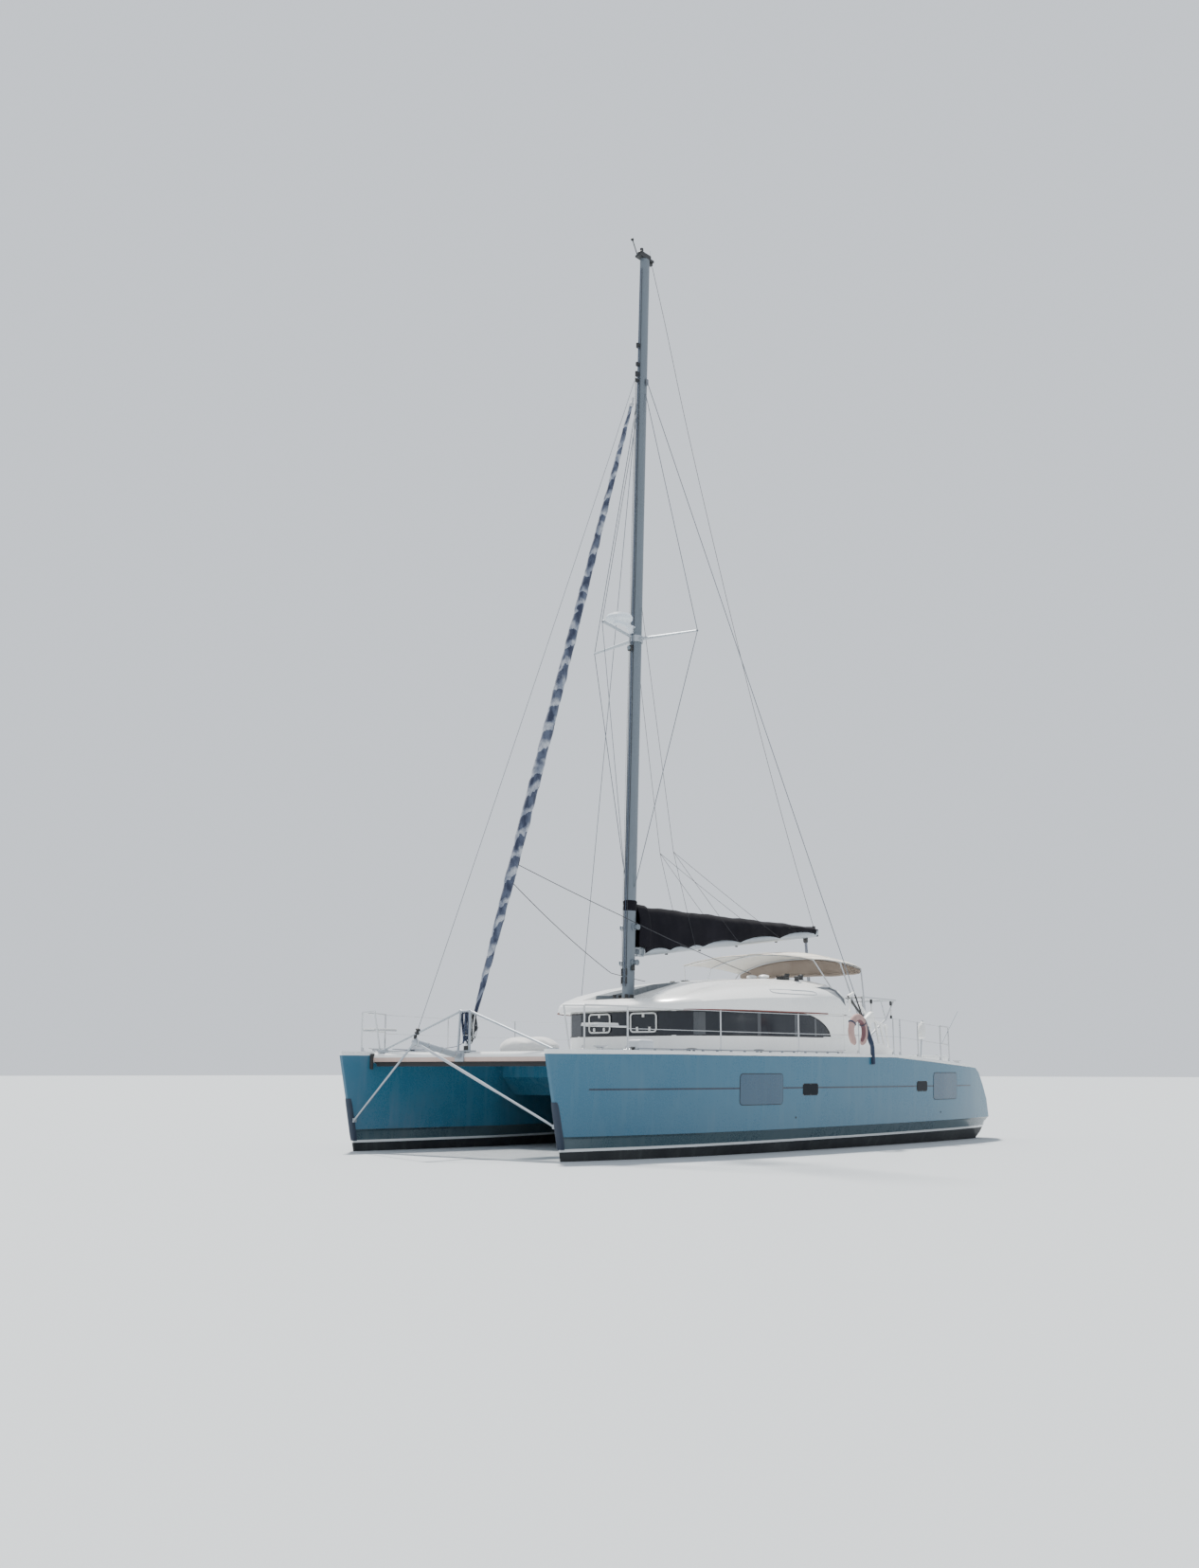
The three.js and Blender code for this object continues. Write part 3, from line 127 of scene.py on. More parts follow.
def lightStudio():
    half = studio["floorSize"] / 2
    mesh = bpy.data.meshes.new("floor")
    corners = [(-half, -half, 0), (half, -half, 0), (half, half, 0), (-half, half, 0)]
    mesh.from_pydata(corners, [], [(0, 1, 2, 3)])
    paint = bpy.data.materials.new("floorPaint")
    paint.use_nodes = True
    shader = paint.node_tree.nodes["Principled BSDF"].inputs
    shader["Base Color"].default_value = (*studio["floorColour"], 1)
    shader["Roughness"].default_value = studio["floorRoughness"]
    mesh.materials.append(paint)
    linked("floor", mesh)
    world = bpy.data.worlds.new("studio")
    bpy.context.scene.world = world
    world.use_nodes = True
    back = world.node_tree.nodes["Background"].inputs
    back["Color"].default_value = (*studio["sky"], 1)
    back["Strength"].default_value = studio["skyStrength"]
    sun = bpy.data.lights.new("sun", "SUN")
    sun.energy = studio["sunStrength"]
    sun.angle = math.radians(studio["sunAngle"])
    sun.color = studio["sunColour"]
    linked("sun", sun).rotation_euler = Vector(studio["sunFrom"]).to_track_quat("Z", "Y").to_euler()


placeCamera()
lightStudio()
print("camera and light placed")

# Node helpers


def feed(tree, socket, value):
    # A link from another node, or a plain value
    if isinstance(value, bpy.types.NodeSocket):
        tree.links.new(value, socket)
    elif socket.type == "RGBA":
        socket.default_value = (*value[:3], 1)
    else:
        socket.default_value = value


def addNode(tree, kind, inputs=None, **settings):
    made = tree.nodes.new(kind)
    for key, value in settings.items():
        setattr(made, key, value)
    for key, value in (inputs or {}).items():
        feed(tree, made.inputs[key], value)
    return made


def calc(tree, operation, *values):
    # Works through the values in order, two at a time
    done = values[0]
    for value in values[1:] or (0.0,):
        done = addNode(tree, "ShaderNodeMath", {0: done, 1: value}, operation=operation).outputs[0]
    return done


def times(tree, *values):
    return calc(tree, "MULTIPLY", *values)


def plus(tree, *values):
    return calc(tree, "ADD", *values)


def minus(tree, *values):
    return calc(tree, "SUBTRACT", *values)


def above(tree, value, level):
    return calc(tree, "GREATER_THAN", value, level)


def below(tree, value, level):
    return calc(tree, "LESS_THAN", value, level)


def within(tree, value, low, high):
    return times(tree, above(tree, value, low), below(tree, value, high))


def mixed(tree, share, a, b):
    return addNode(tree, "ShaderNodeMix", {0: share, 6: a, 7: b}, data_type="RGBA").outputs[2]


def ramped(tree, value, low, high):
    return addNode(tree, "ShaderNodeMapRange", {"Value": value, "From Min": low, "From Max": high}).outputs[0]


def objectPlace(tree):
    return addNode(tree, "ShaderNodeTexCoord").outputs["Object"]


def axesOf(tree, vector):
    return addNode(tree, "ShaderNodeSeparateXYZ", {"Vector": vector}).outputs


def noiseAt(tree, scale, stretch=(1, 1, 1), detail=4.0, place=None):
    place = place or objectPlace(tree)
    moved = addNode(tree, "ShaderNodeMapping", {"Vector": place, "Scale": stretch}).outputs[0]
    grain = {"Vector": moved, "Scale": scale, "Detail": detail}
    return addNode(tree, "ShaderNodeTexNoise", grain).outputs["Fac"]


def waveAt(tree, place, scale, way):
    made = addNode(tree, "ShaderNodeTexWave", {"Vector": place, "Scale": scale}, bands_direction=way)
    return made.outputs["Fac"]


# Shader groups shared by several finishes

socketKinds = {
    "c": "NodeSocketColor", "f": "NodeSocketFloat", "i": "NodeSocketInt",
    "m": "NodeSocketMaterial", "g": "NodeSocketGeometry",
}


def addSockets(tree, way, rows):
    for title, kind, *value in rows:
        socket = tree.interface.new_socket(title, in_out=way, socket_type=socketKinds[kind])
        if value:
            socket.default_value = value[0]


def newTree(name, kind, inputs, outputs):
    tree = bpy.data.node_groups.new(name, kind)
    addSockets(tree, "INPUT", inputs)
    addSockets(tree, "OUTPUT", outputs)
    return tree, addNode(tree, "NodeGroupInput").outputs, addNode(tree, "NodeGroupOutput").inputs


def makeWeathering():
    # Dulling in patches, drips down the sides and fine specks
    inputs = [
        ("Colour", "c", (1, 1, 1, 1)), ("Dirt", "c", (0.3, 0.28, 0.24, 1)),
        ("Amount", "f", 0.3), ("Roughness", "f", 0.3),
    ]
    outputs = [("Colour", "c"), ("Roughness", "f"), ("Height", "f")]
    group, given, out = newTree("weathering", "ShaderNodeTree", inputs, outputs)
    drips = ramped(group, noiseAt(group, 7.0, (1, 1, 0.12), 6), 0.52, 0.80)
    patches = ramped(group, noiseAt(group, 1.1, (1, 1, 1), 5), 0.40, 0.72)
    specks = noiseAt(group, 60.0, (1, 1, 1), 3)
    spots = ramped(group, specks, 0.60, 0.72)
    mask = plus(group, times(group, drips, 0.55), times(group, patches, 0.45), times(group, spots, 0.25))
    mask = times(group, mask, given["Amount"])
    feed(group, out["Colour"], mixed(group, mask, given["Colour"], given["Dirt"]))
    rough = plus(group, given["Roughness"], times(group, mask, 0.45), times(group, specks, 0.06))
    feed(group, out["Roughness"], rough)
    feed(group, out["Height"], plus(group, times(group, patches, 0.6), times(group, specks, 0.4)))
    return group


def makeWeave():
    # Crossed threads, read on flat and on upright cloth alike
    inputs, outputs = [("Threads", "f", 300.0)], [("Height", "f"), ("Shade", "f")]
    group, given, out = newTree("weave", "ShaderNodeTree", inputs, outputs)
    place = objectPlace(group)
    turn = {"Vector": place, "Rotation": (math.pi / 4, 0, 0)}
    turned = addNode(group, "ShaderNodeMapping", turn).outputs[0]
    crossed = times(group, *(waveAt(group, turned, given["Threads"], way) for way in "XZ"))
    cloud = noiseAt(group, 2.6, (1, 1, 1), 5, place)
    feed(group, out["Height"], crossed)
    feed(group, out["Shade"], plus(group, times(group, crossed, 0.25), times(group, cloud, 0.75)))
    return group


def makeStrands():
    # Laid rope: slanting strands with coloured flecks
    inputs, outputs = [("Strands", "f", 90.0), ("Fleck", "f", 0.3)], [("Height", "f"), ("Mask", "f")]
    group, given, out = newTree("strands", "ShaderNodeTree", inputs, outputs)
    place = objectPlace(group)
    feed(group, out["Height"], waveAt(group, place, given["Strands"], "DIAGONAL"))
    flecks = noiseAt(group, 130.0, (1, 1, 1), 1, place)
    feed(group, out["Mask"], above(group, flecks, minus(group, 0.75, times(group, given["Fleck"], 0.5))))
    return group


def makeNonSlip():
    # Rows of small raised studs on faces that look up
    inputs, outputs = [("Studs", "f", 70.0)], [("Height", "f"), ("Mask", "f")]
    group, given, out = newTree("nonSlip", "ShaderNodeTree", inputs, outputs)
    spread = {"Vector": objectPlace(group), "Scale": given["Studs"], "Randomness": 0.0}
    dots = addNode(group, "ShaderNodeTexVoronoi", spread)
    normal = addNode(group, "ShaderNodeNewGeometry").outputs["Normal"]
    facing = ramped(group, axesOf(group, normal)["Z"], 0.80, 0.95)
    bump = minus(group, 1.0, ramped(group, dots.outputs["Distance"], 0.2, 0.5))
    feed(group, out["Height"], times(group, bump, facing))
    feed(group, out["Mask"], facing)
    return group


groups = {
    "weathering": makeWeathering(),
    "weave": makeWeave(),
    "strands": makeStrands(),
    "nonSlip": makeNonSlip(),
}


def useGroup(tree, name, **inputs):
    return addNode(tree, "ShaderNodeGroup", inputs, node_tree=groups[name]).outputs


# Finishes


def newMaterial(name, own):
    # own: numbers that are the same all over, on the shader's own sockets
    material = bpy.data.materials.new(name + "Finish")
    material.use_nodes = True
    for key, value in own.items():
        material.node_tree.nodes["Principled BSDF"].inputs[key].default_value = value
    return material, material.node_tree


def finished(material, colour, roughness, height, strength, distance):
    # Joins the colour, the roughness if it varies, and the bump to the material's own shader
    tree = material.node_tree
    bump = addNode(tree, "ShaderNodeBump", {"Height": height, "Strength": strength, "Distance": distance})
    for title, source in (("Base Color", colour), ("Roughness", roughness), ("Normal", bump.outputs[0])):
        if source is not None:
            tree.links.new(source, tree.nodes["Principled BSDF"].inputs[title])
    return material


def worn(name, colour, dirt, amount, roughness, bump=0.15, depth=0.002, own={}):
    # A hard finish: paint, gelcoat, metal or plastic
    material, tree = newMaterial(name, own)
    marks = useGroup(tree, "weathering", Colour=colour, Dirt=dirt, Amount=amount, Roughness=roughness)
    return finished(material, marks["Colour"], marks["Roughness"], marks["Height"], bump, depth)


def canvas(name, colour, faded, threads=300.0, roughness=0.9, sheen=0.25, shine=0.5):
    own = {"Roughness": roughness, "Sheen Weight": sheen, "Specular IOR Level": shine}
    material, tree = newMaterial(name, own)
    cloth = useGroup(tree, "weave", Threads=threads)
    shade = mixed(tree, ramped(tree, cloth["Shade"], 0.25, 0.75), colour, faded)
    return finished(material, shade, None, cloth["Height"], 0.35, 0.0008)


def rope(name, colour, fleck, share):
    material, tree = newMaterial(name, {"Roughness": 0.75})
    laid = useGroup(tree, "strands", Fleck=share)
    return finished(material, mixed(tree, laid["Mask"], colour, fleck), None, laid["Height"], 0.5, 0.002)


def nonSlip(name, colour, dirt, amount, roughness):
    material, tree = newMaterial(name, {})
    marks = useGroup(tree, "weathering", Colour=colour, Dirt=dirt, Amount=amount, Roughness=roughness)
    studs = useGroup(tree, "nonSlip", Studs=70.0)
    shade = mixed(tree, times(tree, studs["Mask"], 0.35), marks["Colour"], dirt)
    rough = plus(tree, marks["Roughness"], times(tree, studs["Mask"], 0.3))
    return finished(material, shade, rough, studs["Height"], 0.4, 0.002)


white, grime = (0.84, 0.85, 0.84), (0.52, 0.50, 0.44)
glossy = {"Coat Weight": 0.3, "Coat Roughness": 0.12}
hullColours = {
    "topside": (0.032, 0.132, 0.212),
    "stripe": (0.012, 0.024, 0.050),
    "belt": (0.045, 0.085, 0.105),        # under the chine: painted shade where the hull turns in below it
    "bootLine": (0.78, 0.80, 0.80),
    "antifoul": (0.012, 0.014, 0.017),
    "deck": (0.80, 0.82, 0.82),
    "stain": (0.36, 0.38, 0.36),
}
hullMarks = {       # heights in metres at midships, and their rise per metre going ahead
    "boot": (0.165, -0.0065),
    "bootTop": (0.202, -0.0065),
    "chine": (0.360, -0.0052),
    "stripeLow": (0.958, 0.0),
    "stripeTop": (0.983, 0.0),
}
hullZones = {       # along, across on either side, and above which height
    "wells": ((-9.0, 1.0), (-1.0, 1.40), 1.04),
    "steps": ((-9.0, -2.90), (1.60, 2.84), 0.25),
}
hullEdges = {
    "stripe": (-4.66, 5.14),
    "outside": 2.2,                       # the stripe is on the outer sides only
    "sheer": 1.458, "level": -1.6, "fall": 0.052,      # the deck moulding's edge falls aft of level
    "treads": 0.05,
}
roofMarks = {
    "aft": -0.40, "fore": 1.45,
    "half": 0.338, "widen": 0.13, "flare": 0.075,      # half width amidships, and its growth going ahead
    "floor": 2.69, "fall": 0.245, "lowest": 2.40,
    "upTheWall": 0.09,
    # The valley's grey: partly its own grey, partly painted shade
    "grey": (0.17, 0.19, 0.21),
}


def hullFinish():
    own = {"Coat Weight": 0.12, "Coat Roughness": 0.15, "Specular IOR Level": 0.38}
    material, tree = newMaterial("hull", own)
    axes = axesOf(tree, objectPlace(tree))
    along, height, across = axes["X"], axes["Z"], calc(tree, "ABSOLUTE", axes["Y"])
    studs = useGroup(tree, "nonSlip", Studs=70.0)

    def over(mark):
        level, rise = hullMarks[mark]
        return above(tree, height, plus(tree, level, times(tree, along, rise)))

    def inZone(name):
        lengths, widths, lowest = hullZones[name]
        inside = times(tree, within(tree, across, *widths), within(tree, along, *lengths))
        return times(tree, inside, above(tree, height, lowest))

    colour = hullColours["antifoul"]
    # Bands from the bottom up; the one above the boot top is painted shade under the chine
    for mark, name in (("boot", "bootLine"), ("bootTop", "belt"), ("chine", "topside")):
        colour = mixed(tree, over(mark), colour, hullColours[name])
    stripe = times(
        tree, over("stripeLow"), minus(tree, 1.0, over("stripeTop")),
        within(tree, along, *hullEdges["stripe"]), above(tree, across, hullEdges["outside"]),
    )
    colour = mixed(tree, stripe, colour, hullColours["stripe"])
    # The deck moulding starts where the sheer falls aft, so its edge follows the same curve
    aft = calc(tree, "MAXIMUM", 0.0, minus(tree, hullEdges["level"], along))
    moulding = above(tree, height, minus(tree, hullEdges["sheer"], times(tree, aft, hullEdges["fall"])))
    treads = times(tree, studs["Mask"], above(tree, height, hullEdges["treads"]))
    # Cockpit and saloon wells, and the steps at the sterns, are white moulding too
    onDeck = calc(tree, "MAXIMUM", moulding, treads, inZone("wells"), inZone("steps"))
    colour = mixed(tree, onDeck, colour, hullColours["deck"])
    stain = hullColours["stain"]
    marks = useGroup(tree, "weathering", Colour=colour, Dirt=stain, Amount=0.12, Roughness=0.24)
    dull = plus(tree, minus(tree, 1.0, over("boot")), times(tree, studs["Mask"], 0.5))
    rough = plus(tree, marks["Roughness"], times(tree, dull, 0.45))
    return finished(material, marks["Colour"], rough, studs["Height"], 0.4, 0.002)


def roofFinish():
    # White gelcoat, with the floor and lower walls of the valley behind the mast grey: partly their own grey,
    # partly painted shade
    material, tree = newMaterial("roof", glossy)
    axes = axesOf(tree, objectPlace(tree))
    along = axes["X"]
    widening = times(tree, along, roofMarks["widen"])
    edge = plus(tree, roofMarks["half"], widening, times(tree, along, along, roofMarks["flare"]))
    inside = below(tree, calc(tree, "ABSOLUTE", axes["Y"]), edge)
    slope = minus(tree, roofMarks["floor"], times(tree, along, roofMarks["fall"]))
    floor = calc(tree, "MAXIMUM", roofMarks["lowest"], slope)
    low = below(tree, axes["Z"], plus(tree, floor, roofMarks["upTheWall"]))
    mask = times(tree, inside, within(tree, along, roofMarks["aft"], roofMarks["fore"]), low)
    shade = mixed(tree, mask, white, roofMarks["grey"])
    marks = useGroup(tree, "weathering", Colour=shade, Dirt=grime, Amount=0.22, Roughness=0.22)
    return finished(material, marks["Colour"], marks["Roughness"], marks["Height"], 0.05, 0.002)


def furledFinish():
    # Sun strip wound round the roll: dark and pale turns, from the piece's own UV map
    material, tree = newMaterial("furled", {"Roughness": 0.85, "Sheen Weight": 0.2})
    axes = axesOf(tree, addNode(tree, "ShaderNodeUVMap", uv_map="wrap").outputs["UV"])
    wander = times(tree, noiseAt(tree, 5.0, (1, 1, 0.7), 6), 1.7)
    pale = ramped(tree, calc(tree, "FRACT", plus(tree, axes["X"], axes["Y"], wander)), 0.52, 0.80)
    grey = ramped(tree, noiseAt(tree, 9.0, (1, 1, 0.4), 5), 0.42, 0.62)
    dark = mixed(tree, grey, (0.018, 0.026, 0.060), (0.085, 0.105, 0.160))
    light = mixed(tree, grey, (0.20, 0.23, 0.30), (0.50, 0.52, 0.56))
    shade = mixed(tree, times(tree, pale, 0.85), dark, light)
    return finished(material, shade, None, useGroup(tree, "weave", Threads=220.0)["Height"], 0.3, 0.001)


hard = {       # colour, dirt, amount of wear, roughness, then bump, its depth, and the shader's own numbers
    "gelcoat": (white, grime, 0.22, 0.22, 0.05, 0.002, glossy),
    "shadeGrey": ((0.44, 0.47, 0.51), (0.30, 0.31, 0.32), 0.25, 0.45, 0.1),
    # for the roof's corner steps: partly their own grey, partly painted shade
    "valleyGrey": ((0.20, 0.215, 0.235), (0.16, 0.17, 0.18), 0.25, 0.5, 0.1),
    "antifoul": ((0.015, 0.017, 0.020), (0.07, 0.09, 0.07), 0.7, 0.72, 0.5, 0.004),
    # the mast and its winches: a mid grey, partly their own and partly painted shade
    "mastPaint": ((0.155, 0.185, 0.215), (0.12, 0.13, 0.15), 0.35, 0.40, 0.08, 0.001, {"Metallic": 0.35}),
    "alloy": ((0.40, 0.44, 0.48), (0.24, 0.26, 0.28), 0.4, 0.42, 0.08, 0.001, {"Metallic": 0.55}),
    "steel": ((0.56, 0.58, 0.60), (0.34, 0.28, 0.22), 0.3, 0.24, 0.05, 0.001, {"Metallic": 1.0}),
    "wire": ((0.20, 0.22, 0.25), (0.10, 0.10, 0.10), 0.4, 0.40, 0.2, 0.001, {"Metallic": 0.7}),
    "bronze": ((0.36, 0.24, 0.10), (0.06, 0.10, 0.08), 0.6, 0.38, 0.3, 0.002, {"Metallic": 0.85}),
    "galvanised": ((0.34, 0.35, 0.36), (0.18, 0.18, 0.17), 0.8, 0.6, 0.5, 0.003, {"Metallic": 0.6}),
    "smoked": (
        (0.012, 0.015, 0.021), (0.040, 0.045, 0.052), 0.35, 0.10, 0.03, 0.001,
        {"Specular IOR Level": 0.35, "Coat Weight": 0.10, "Coat Roughness": 0.06},
    ),
    "panelTint": ((0.012, 0.062, 0.118), (0.07, 0.13, 0.18), 0.4, 0.20, 0.03, 0.001, {"Coat Weight": 0.2}),
    "portGlass": (
        (0.004, 0.007, 0.012), (0.012, 0.015, 0.018), 0.3, 0.35, 0.15, 0.002, {"Specular IOR Level": 0.12},
    ),
    "blackPlastic": ((0.018, 0.019, 0.021), (0.06, 0.06, 0.06), 0.4, 0.45),
    "whitePlastic": ((0.80, 0.81, 0.80), (0.50, 0.47, 0.40), 0.3, 0.35),
    "radome": ((0.72, 0.78, 0.84), (0.45, 0.45, 0.42), 0.25, 0.35),
    # the crossbeam's lower face: a painted warm reflection
    "warmPaint": ((0.56, 0.41, 0.36), (0.34, 0.24, 0.20), 0.7, 0.42, 0.1),
    "mullion": ((0.055, 0.062, 0.072), (0.10, 0.10, 0.10), 0.5, 0.25, 0.05),
    "rubber": ((0.02, 0.02, 0.022), (0.08, 0.08, 0.075), 0.5, 0.75, 0.3),
    "navyRubber": ((0.008, 0.020, 0.045), (0.08, 0.10, 0.12), 0.4, 0.5),
    # the dark red line under the visor: painted shade and a warm reflection
    "redTrim": ((0.15, 0.030, 0.022), (0.12, 0.06, 0.05), 0.5, 0.5),
    "engine": ((0.07, 0.16, 0.10), (0.05, 0.04, 0.03), 0.6, 0.4),
    "teak": ((0.30, 0.19, 0.10), (0.16, 0.12, 0.08), 0.7, 0.65, 0.4),
    "fadedVinyl": ((0.46, 0.30, 0.27), (0.24, 0.15, 0.15), 0.9, 0.62, 0.3, 0.003),
    # the buoy's inward faces: partly the vinyl's own maroon, partly painted shade
    "vinylShade": ((0.17, 0.075, 0.085), (0.12, 0.07, 0.08), 0.7, 0.62, 0.3, 0.003),
}
cloths = {       # colour, faded colour, then threads, roughness, sheen and shine
    "blackCanvas": ((0.004, 0.004, 0.007), (0.011, 0.010, 0.015), 300.0, 0.95, 0.02, 0.15),
    "creamCanvas": ((0.74, 0.69, 0.60), (0.84, 0.80, 0.73)),
    "bagCanvas": ((0.62, 0.62, 0.61), (0.74, 0.73, 0.71)),
    "navyCanvas": ((0.012, 0.022, 0.055), (0.03, 0.05, 0.09)),
    # the valance's brown: painted shade under the canopy's after edge
    "shadeCanvas": ((0.30, 0.24, 0.20), (0.40, 0.33, 0.28)),
    "cushionCloth": ((0.16, 0.21, 0.30), (0.22, 0.28, 0.37), 260.0),
}
ropes = {       # colour, flecks and their share
    "netCord": ((0.66, 0.68, 0.69), (0.50, 0.52, 0.54), 0.4),
    "ropeBlack": ((0.020, 0.022, 0.028), (0.10, 0.11, 0.14), 0.2),
    "ropeNavy": ((0.025, 0.040, 0.085), (0.20, 0.23, 0.30), 0.25),
    "ropeWhite": ((0.66, 0.66, 0.63), (0.10, 0.16, 0.35), 0.25),
}
decks = {"deck": ((0.78, 0.80, 0.80), (0.56, 0.57, 0.56), 0.3, 0.35)}
finishes = {"hull": hullFinish(), "roof": roofFinish(), "furled": furledFinish()}
for make, rows in ((worn, hard), (canvas, cloths), (rope, ropes), (nonSlip, decks)):
    finishes.update({name: make(name, *row) for name, row in rows.items()})
print("finishes made:", len(finishes))

# Mesh helpers


def plainMesh(piece):
    # Everything on the modifier stack becomes an ordinary mesh
    bpy.context.view_layer.update()
    graph = bpy.context.evaluated_depsgraph_get()
    seen = piece.evaluated_get(graph)
    mesh = bpy.data.meshes.new_from_object(seen, preserve_all_data_layers=True, depsgraph=graph)
    mesh.name = piece.name
    if piece.type == "MESH":
        piece.modifiers.clear()
        piece.data = mesh
        return piece
    name = piece.name
    bpy.data.objects.remove(piece)
    return linked(name, mesh)


def place(name, mesh, body, finish, slot):
    piece = linked(name, mesh)
    mesh.materials.clear()
    mesh.materials.append(finishes[finish])
    if body:
        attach(piece, body)
    return piece


def rounded(bm, edges, width, segments=2, profile=0.6):
    bmesh.ops.bevel(
        bm, geom=edges, offset=width, offset_type="OFFSET", segments=segments, profile=profile,
        affect="EDGES", clamp_overlap=True,
    )


def smoothed(mesh, angle):
    mesh.shade_smooth()
    mesh.set_sharp_from_angle(angle=math.radians(angle))


def toMesh(bm, name):
    mesh = bpy.data.meshes.new(name)
    bm.to_mesh(mesh)
    bm.free()
    return mesh


# The CAD's own solids with softened edges and their finishes

skin = {"weld": 0.00002, "flat": 0.4, "sharp": 35, "smooth": 38}        # metres, then degrees
edging = {       # finish: the nodes that wear it, with their softened edge in metres
    "hull": {"hull": 0.004, "bridgedeck": 0.005},
    "roof": {"coachroof": 0.006},
    "deck": {"engine_lid": 0.004},
    "gelcoat": {
        "crossbeam": 0.008, "cabin_wall": 0.004, "aft_bulkhead": 0.004, "helm_console": 0.012,
        "helm_seat": 0.010, "cockpit_coaming": 0.012, "cockpit_seats": 0.010,
    },
    "antifoul": {"keel": 0.006, "rudder": 0.004},
    "engine": {"engine": 0.006},
    "bronze": {"prop": 0.0015},
    "alloy": {"saildrive": 0.004, "gull_striker": 0.0, "bowsprit": 0.0, "spreaders": 0.003, "boom": 0.002},
    "smoked": {"saloon_door": 0.002, "window": 0.0, "window_front": 0.0, "window_hatch": 0.003},
    "steel": dict.fromkeys(("bimini_frame", "davits", "pulpit", "pushpit", "lifelines", "helm_wheel"), 0.0),
    "wire": dict.fromkeys(("cap_shroud", "diamond_stay", "jumper_stay"), 0.0),
    "mastPaint": {"mast": 0.0},
    "blackPlastic": {"masthead": 0.006, "furler_drum": 0.003},
    "radome": {"radar_dome": 0.003},
}


def dress(node, finish, bevel):
    bm = bmesh.new()
    bm.from_mesh(frame["nodes"][node].data)
    bmesh.ops.remove_doubles(bm, verts=bm.verts, dist=skin["weld"])
    bmesh.ops.dissolve_limit(bm, angle_limit=math.radians(skin["flat"]), verts=bm.verts, edges=bm.edges)
    sharp = math.radians(skin["sharp"])
    edges = [e for e in bm.edges if len(e.link_faces) == 2 and e.calc_face_angle(0) > sharp]
    if edges and bevel:
        rounded(bm, edges, bevel, profile=0.5)
    mesh = toMesh(bm, node + "_skin")
    smoothed(mesh, skin["smooth"])
    piece = place(node + "_skin", mesh, bodyOf[node], finish, slotOf[node])
    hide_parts(node)
    piece.modifiers.new("even", "WEIGHTED_NORMAL").keep_sharp = True
    return plainMesh(piece)


wearing = {node: (finish, bevel) for finish, members in edging.items() for node, bevel in members.items()}
dressed = {}
for node in frame["nodes"]:
    row = wearing.get(node.replace("_port", "").replace("_starboard", ""))
    if row:
        dressed[node] = dress(node, *row)
bare = sorted(set(frame["nodes"]) - set(dressed))
for node in bare:
    frame["nodes"][node].data.materials.clear()
print("dressed solids:", len(dressed), "left for their own pieces:", bare)

# Helpers for new pieces


def pointsAlong(points, count):
    # Even steps along a smooth line through the points (Catmull-Rom)
    given = [Vector(p) for p in points]
    given = [given[0] * 2 - given[1]] + given + [given[-1] * 2 - given[-2]]
    fine = []
    for i in range(1, len(given) - 2):
        a, b, c, d = given[i - 1:i + 3]
        for t in steps(0, 1, 12)[:-1]:
            curved = (2 * a - 5 * b + 4 * c - d) * t ** 2 + (3 * b - a - 3 * c + d) * t ** 3
            fine.append(0.5 * (2 * b + (c - a) * t + curved))
    fine.append(given[-2])
    reach = [0.0]
    for a, b in zip(fine, fine[1:]):
        reach.append(reach[-1] + (b - a).length)
    out, k = [], 0
    for want in steps(0, reach[-1], count - 1):
        while k < len(reach) - 2 and reach[k + 1] < want:
            k += 1
        span = max(reach[k + 1] - reach[k], 1e-9)
        out.append(fine[k].lerp(fine[k + 1], (want - reach[k]) / span))
    return out


def monotone(rows, x, column):
    # The same smooth curve through a table as the CAD's own
    rows = sorted(rows)
    xs, ys = [r[0] for r in rows], [r[column] for r in rows]
    if x <= xs[0]:
        return ys[0]
    if x >= xs[-1]:
        return ys[-1]
    slopes = [(b - a) / (q - p) for p, q, a, b in zip(xs, xs[1:], ys, ys[1:])]
    tangents = [slopes[0]]
    for a, b in zip(slopes, slopes[1:]):
        tangents.append(0 if a * b <= 0 else 2 * a * b / (a + b))
    tangents.append(slopes[-1])
    i = max(k for k in range(len(xs) - 1) if xs[k] <= x)
    h = xs[i + 1] - xs[i]
    t = (x - xs[i]) / h
    return (
        ys[i] * (2 * t ** 3 - 3 * t ** 2 + 1) + h * tangents[i] * (t ** 3 - 2 * t ** 2 + t)
        + ys[i + 1] * (3 * t ** 2 - 2 * t ** 3) + h * tangents[i + 1] * (t ** 3 - t ** 2)
    )


def lifted(met, lift):
    # Points off a surface, from pairs of a point and the surface's direction
    return [at + normal * lift for at, normal in met]


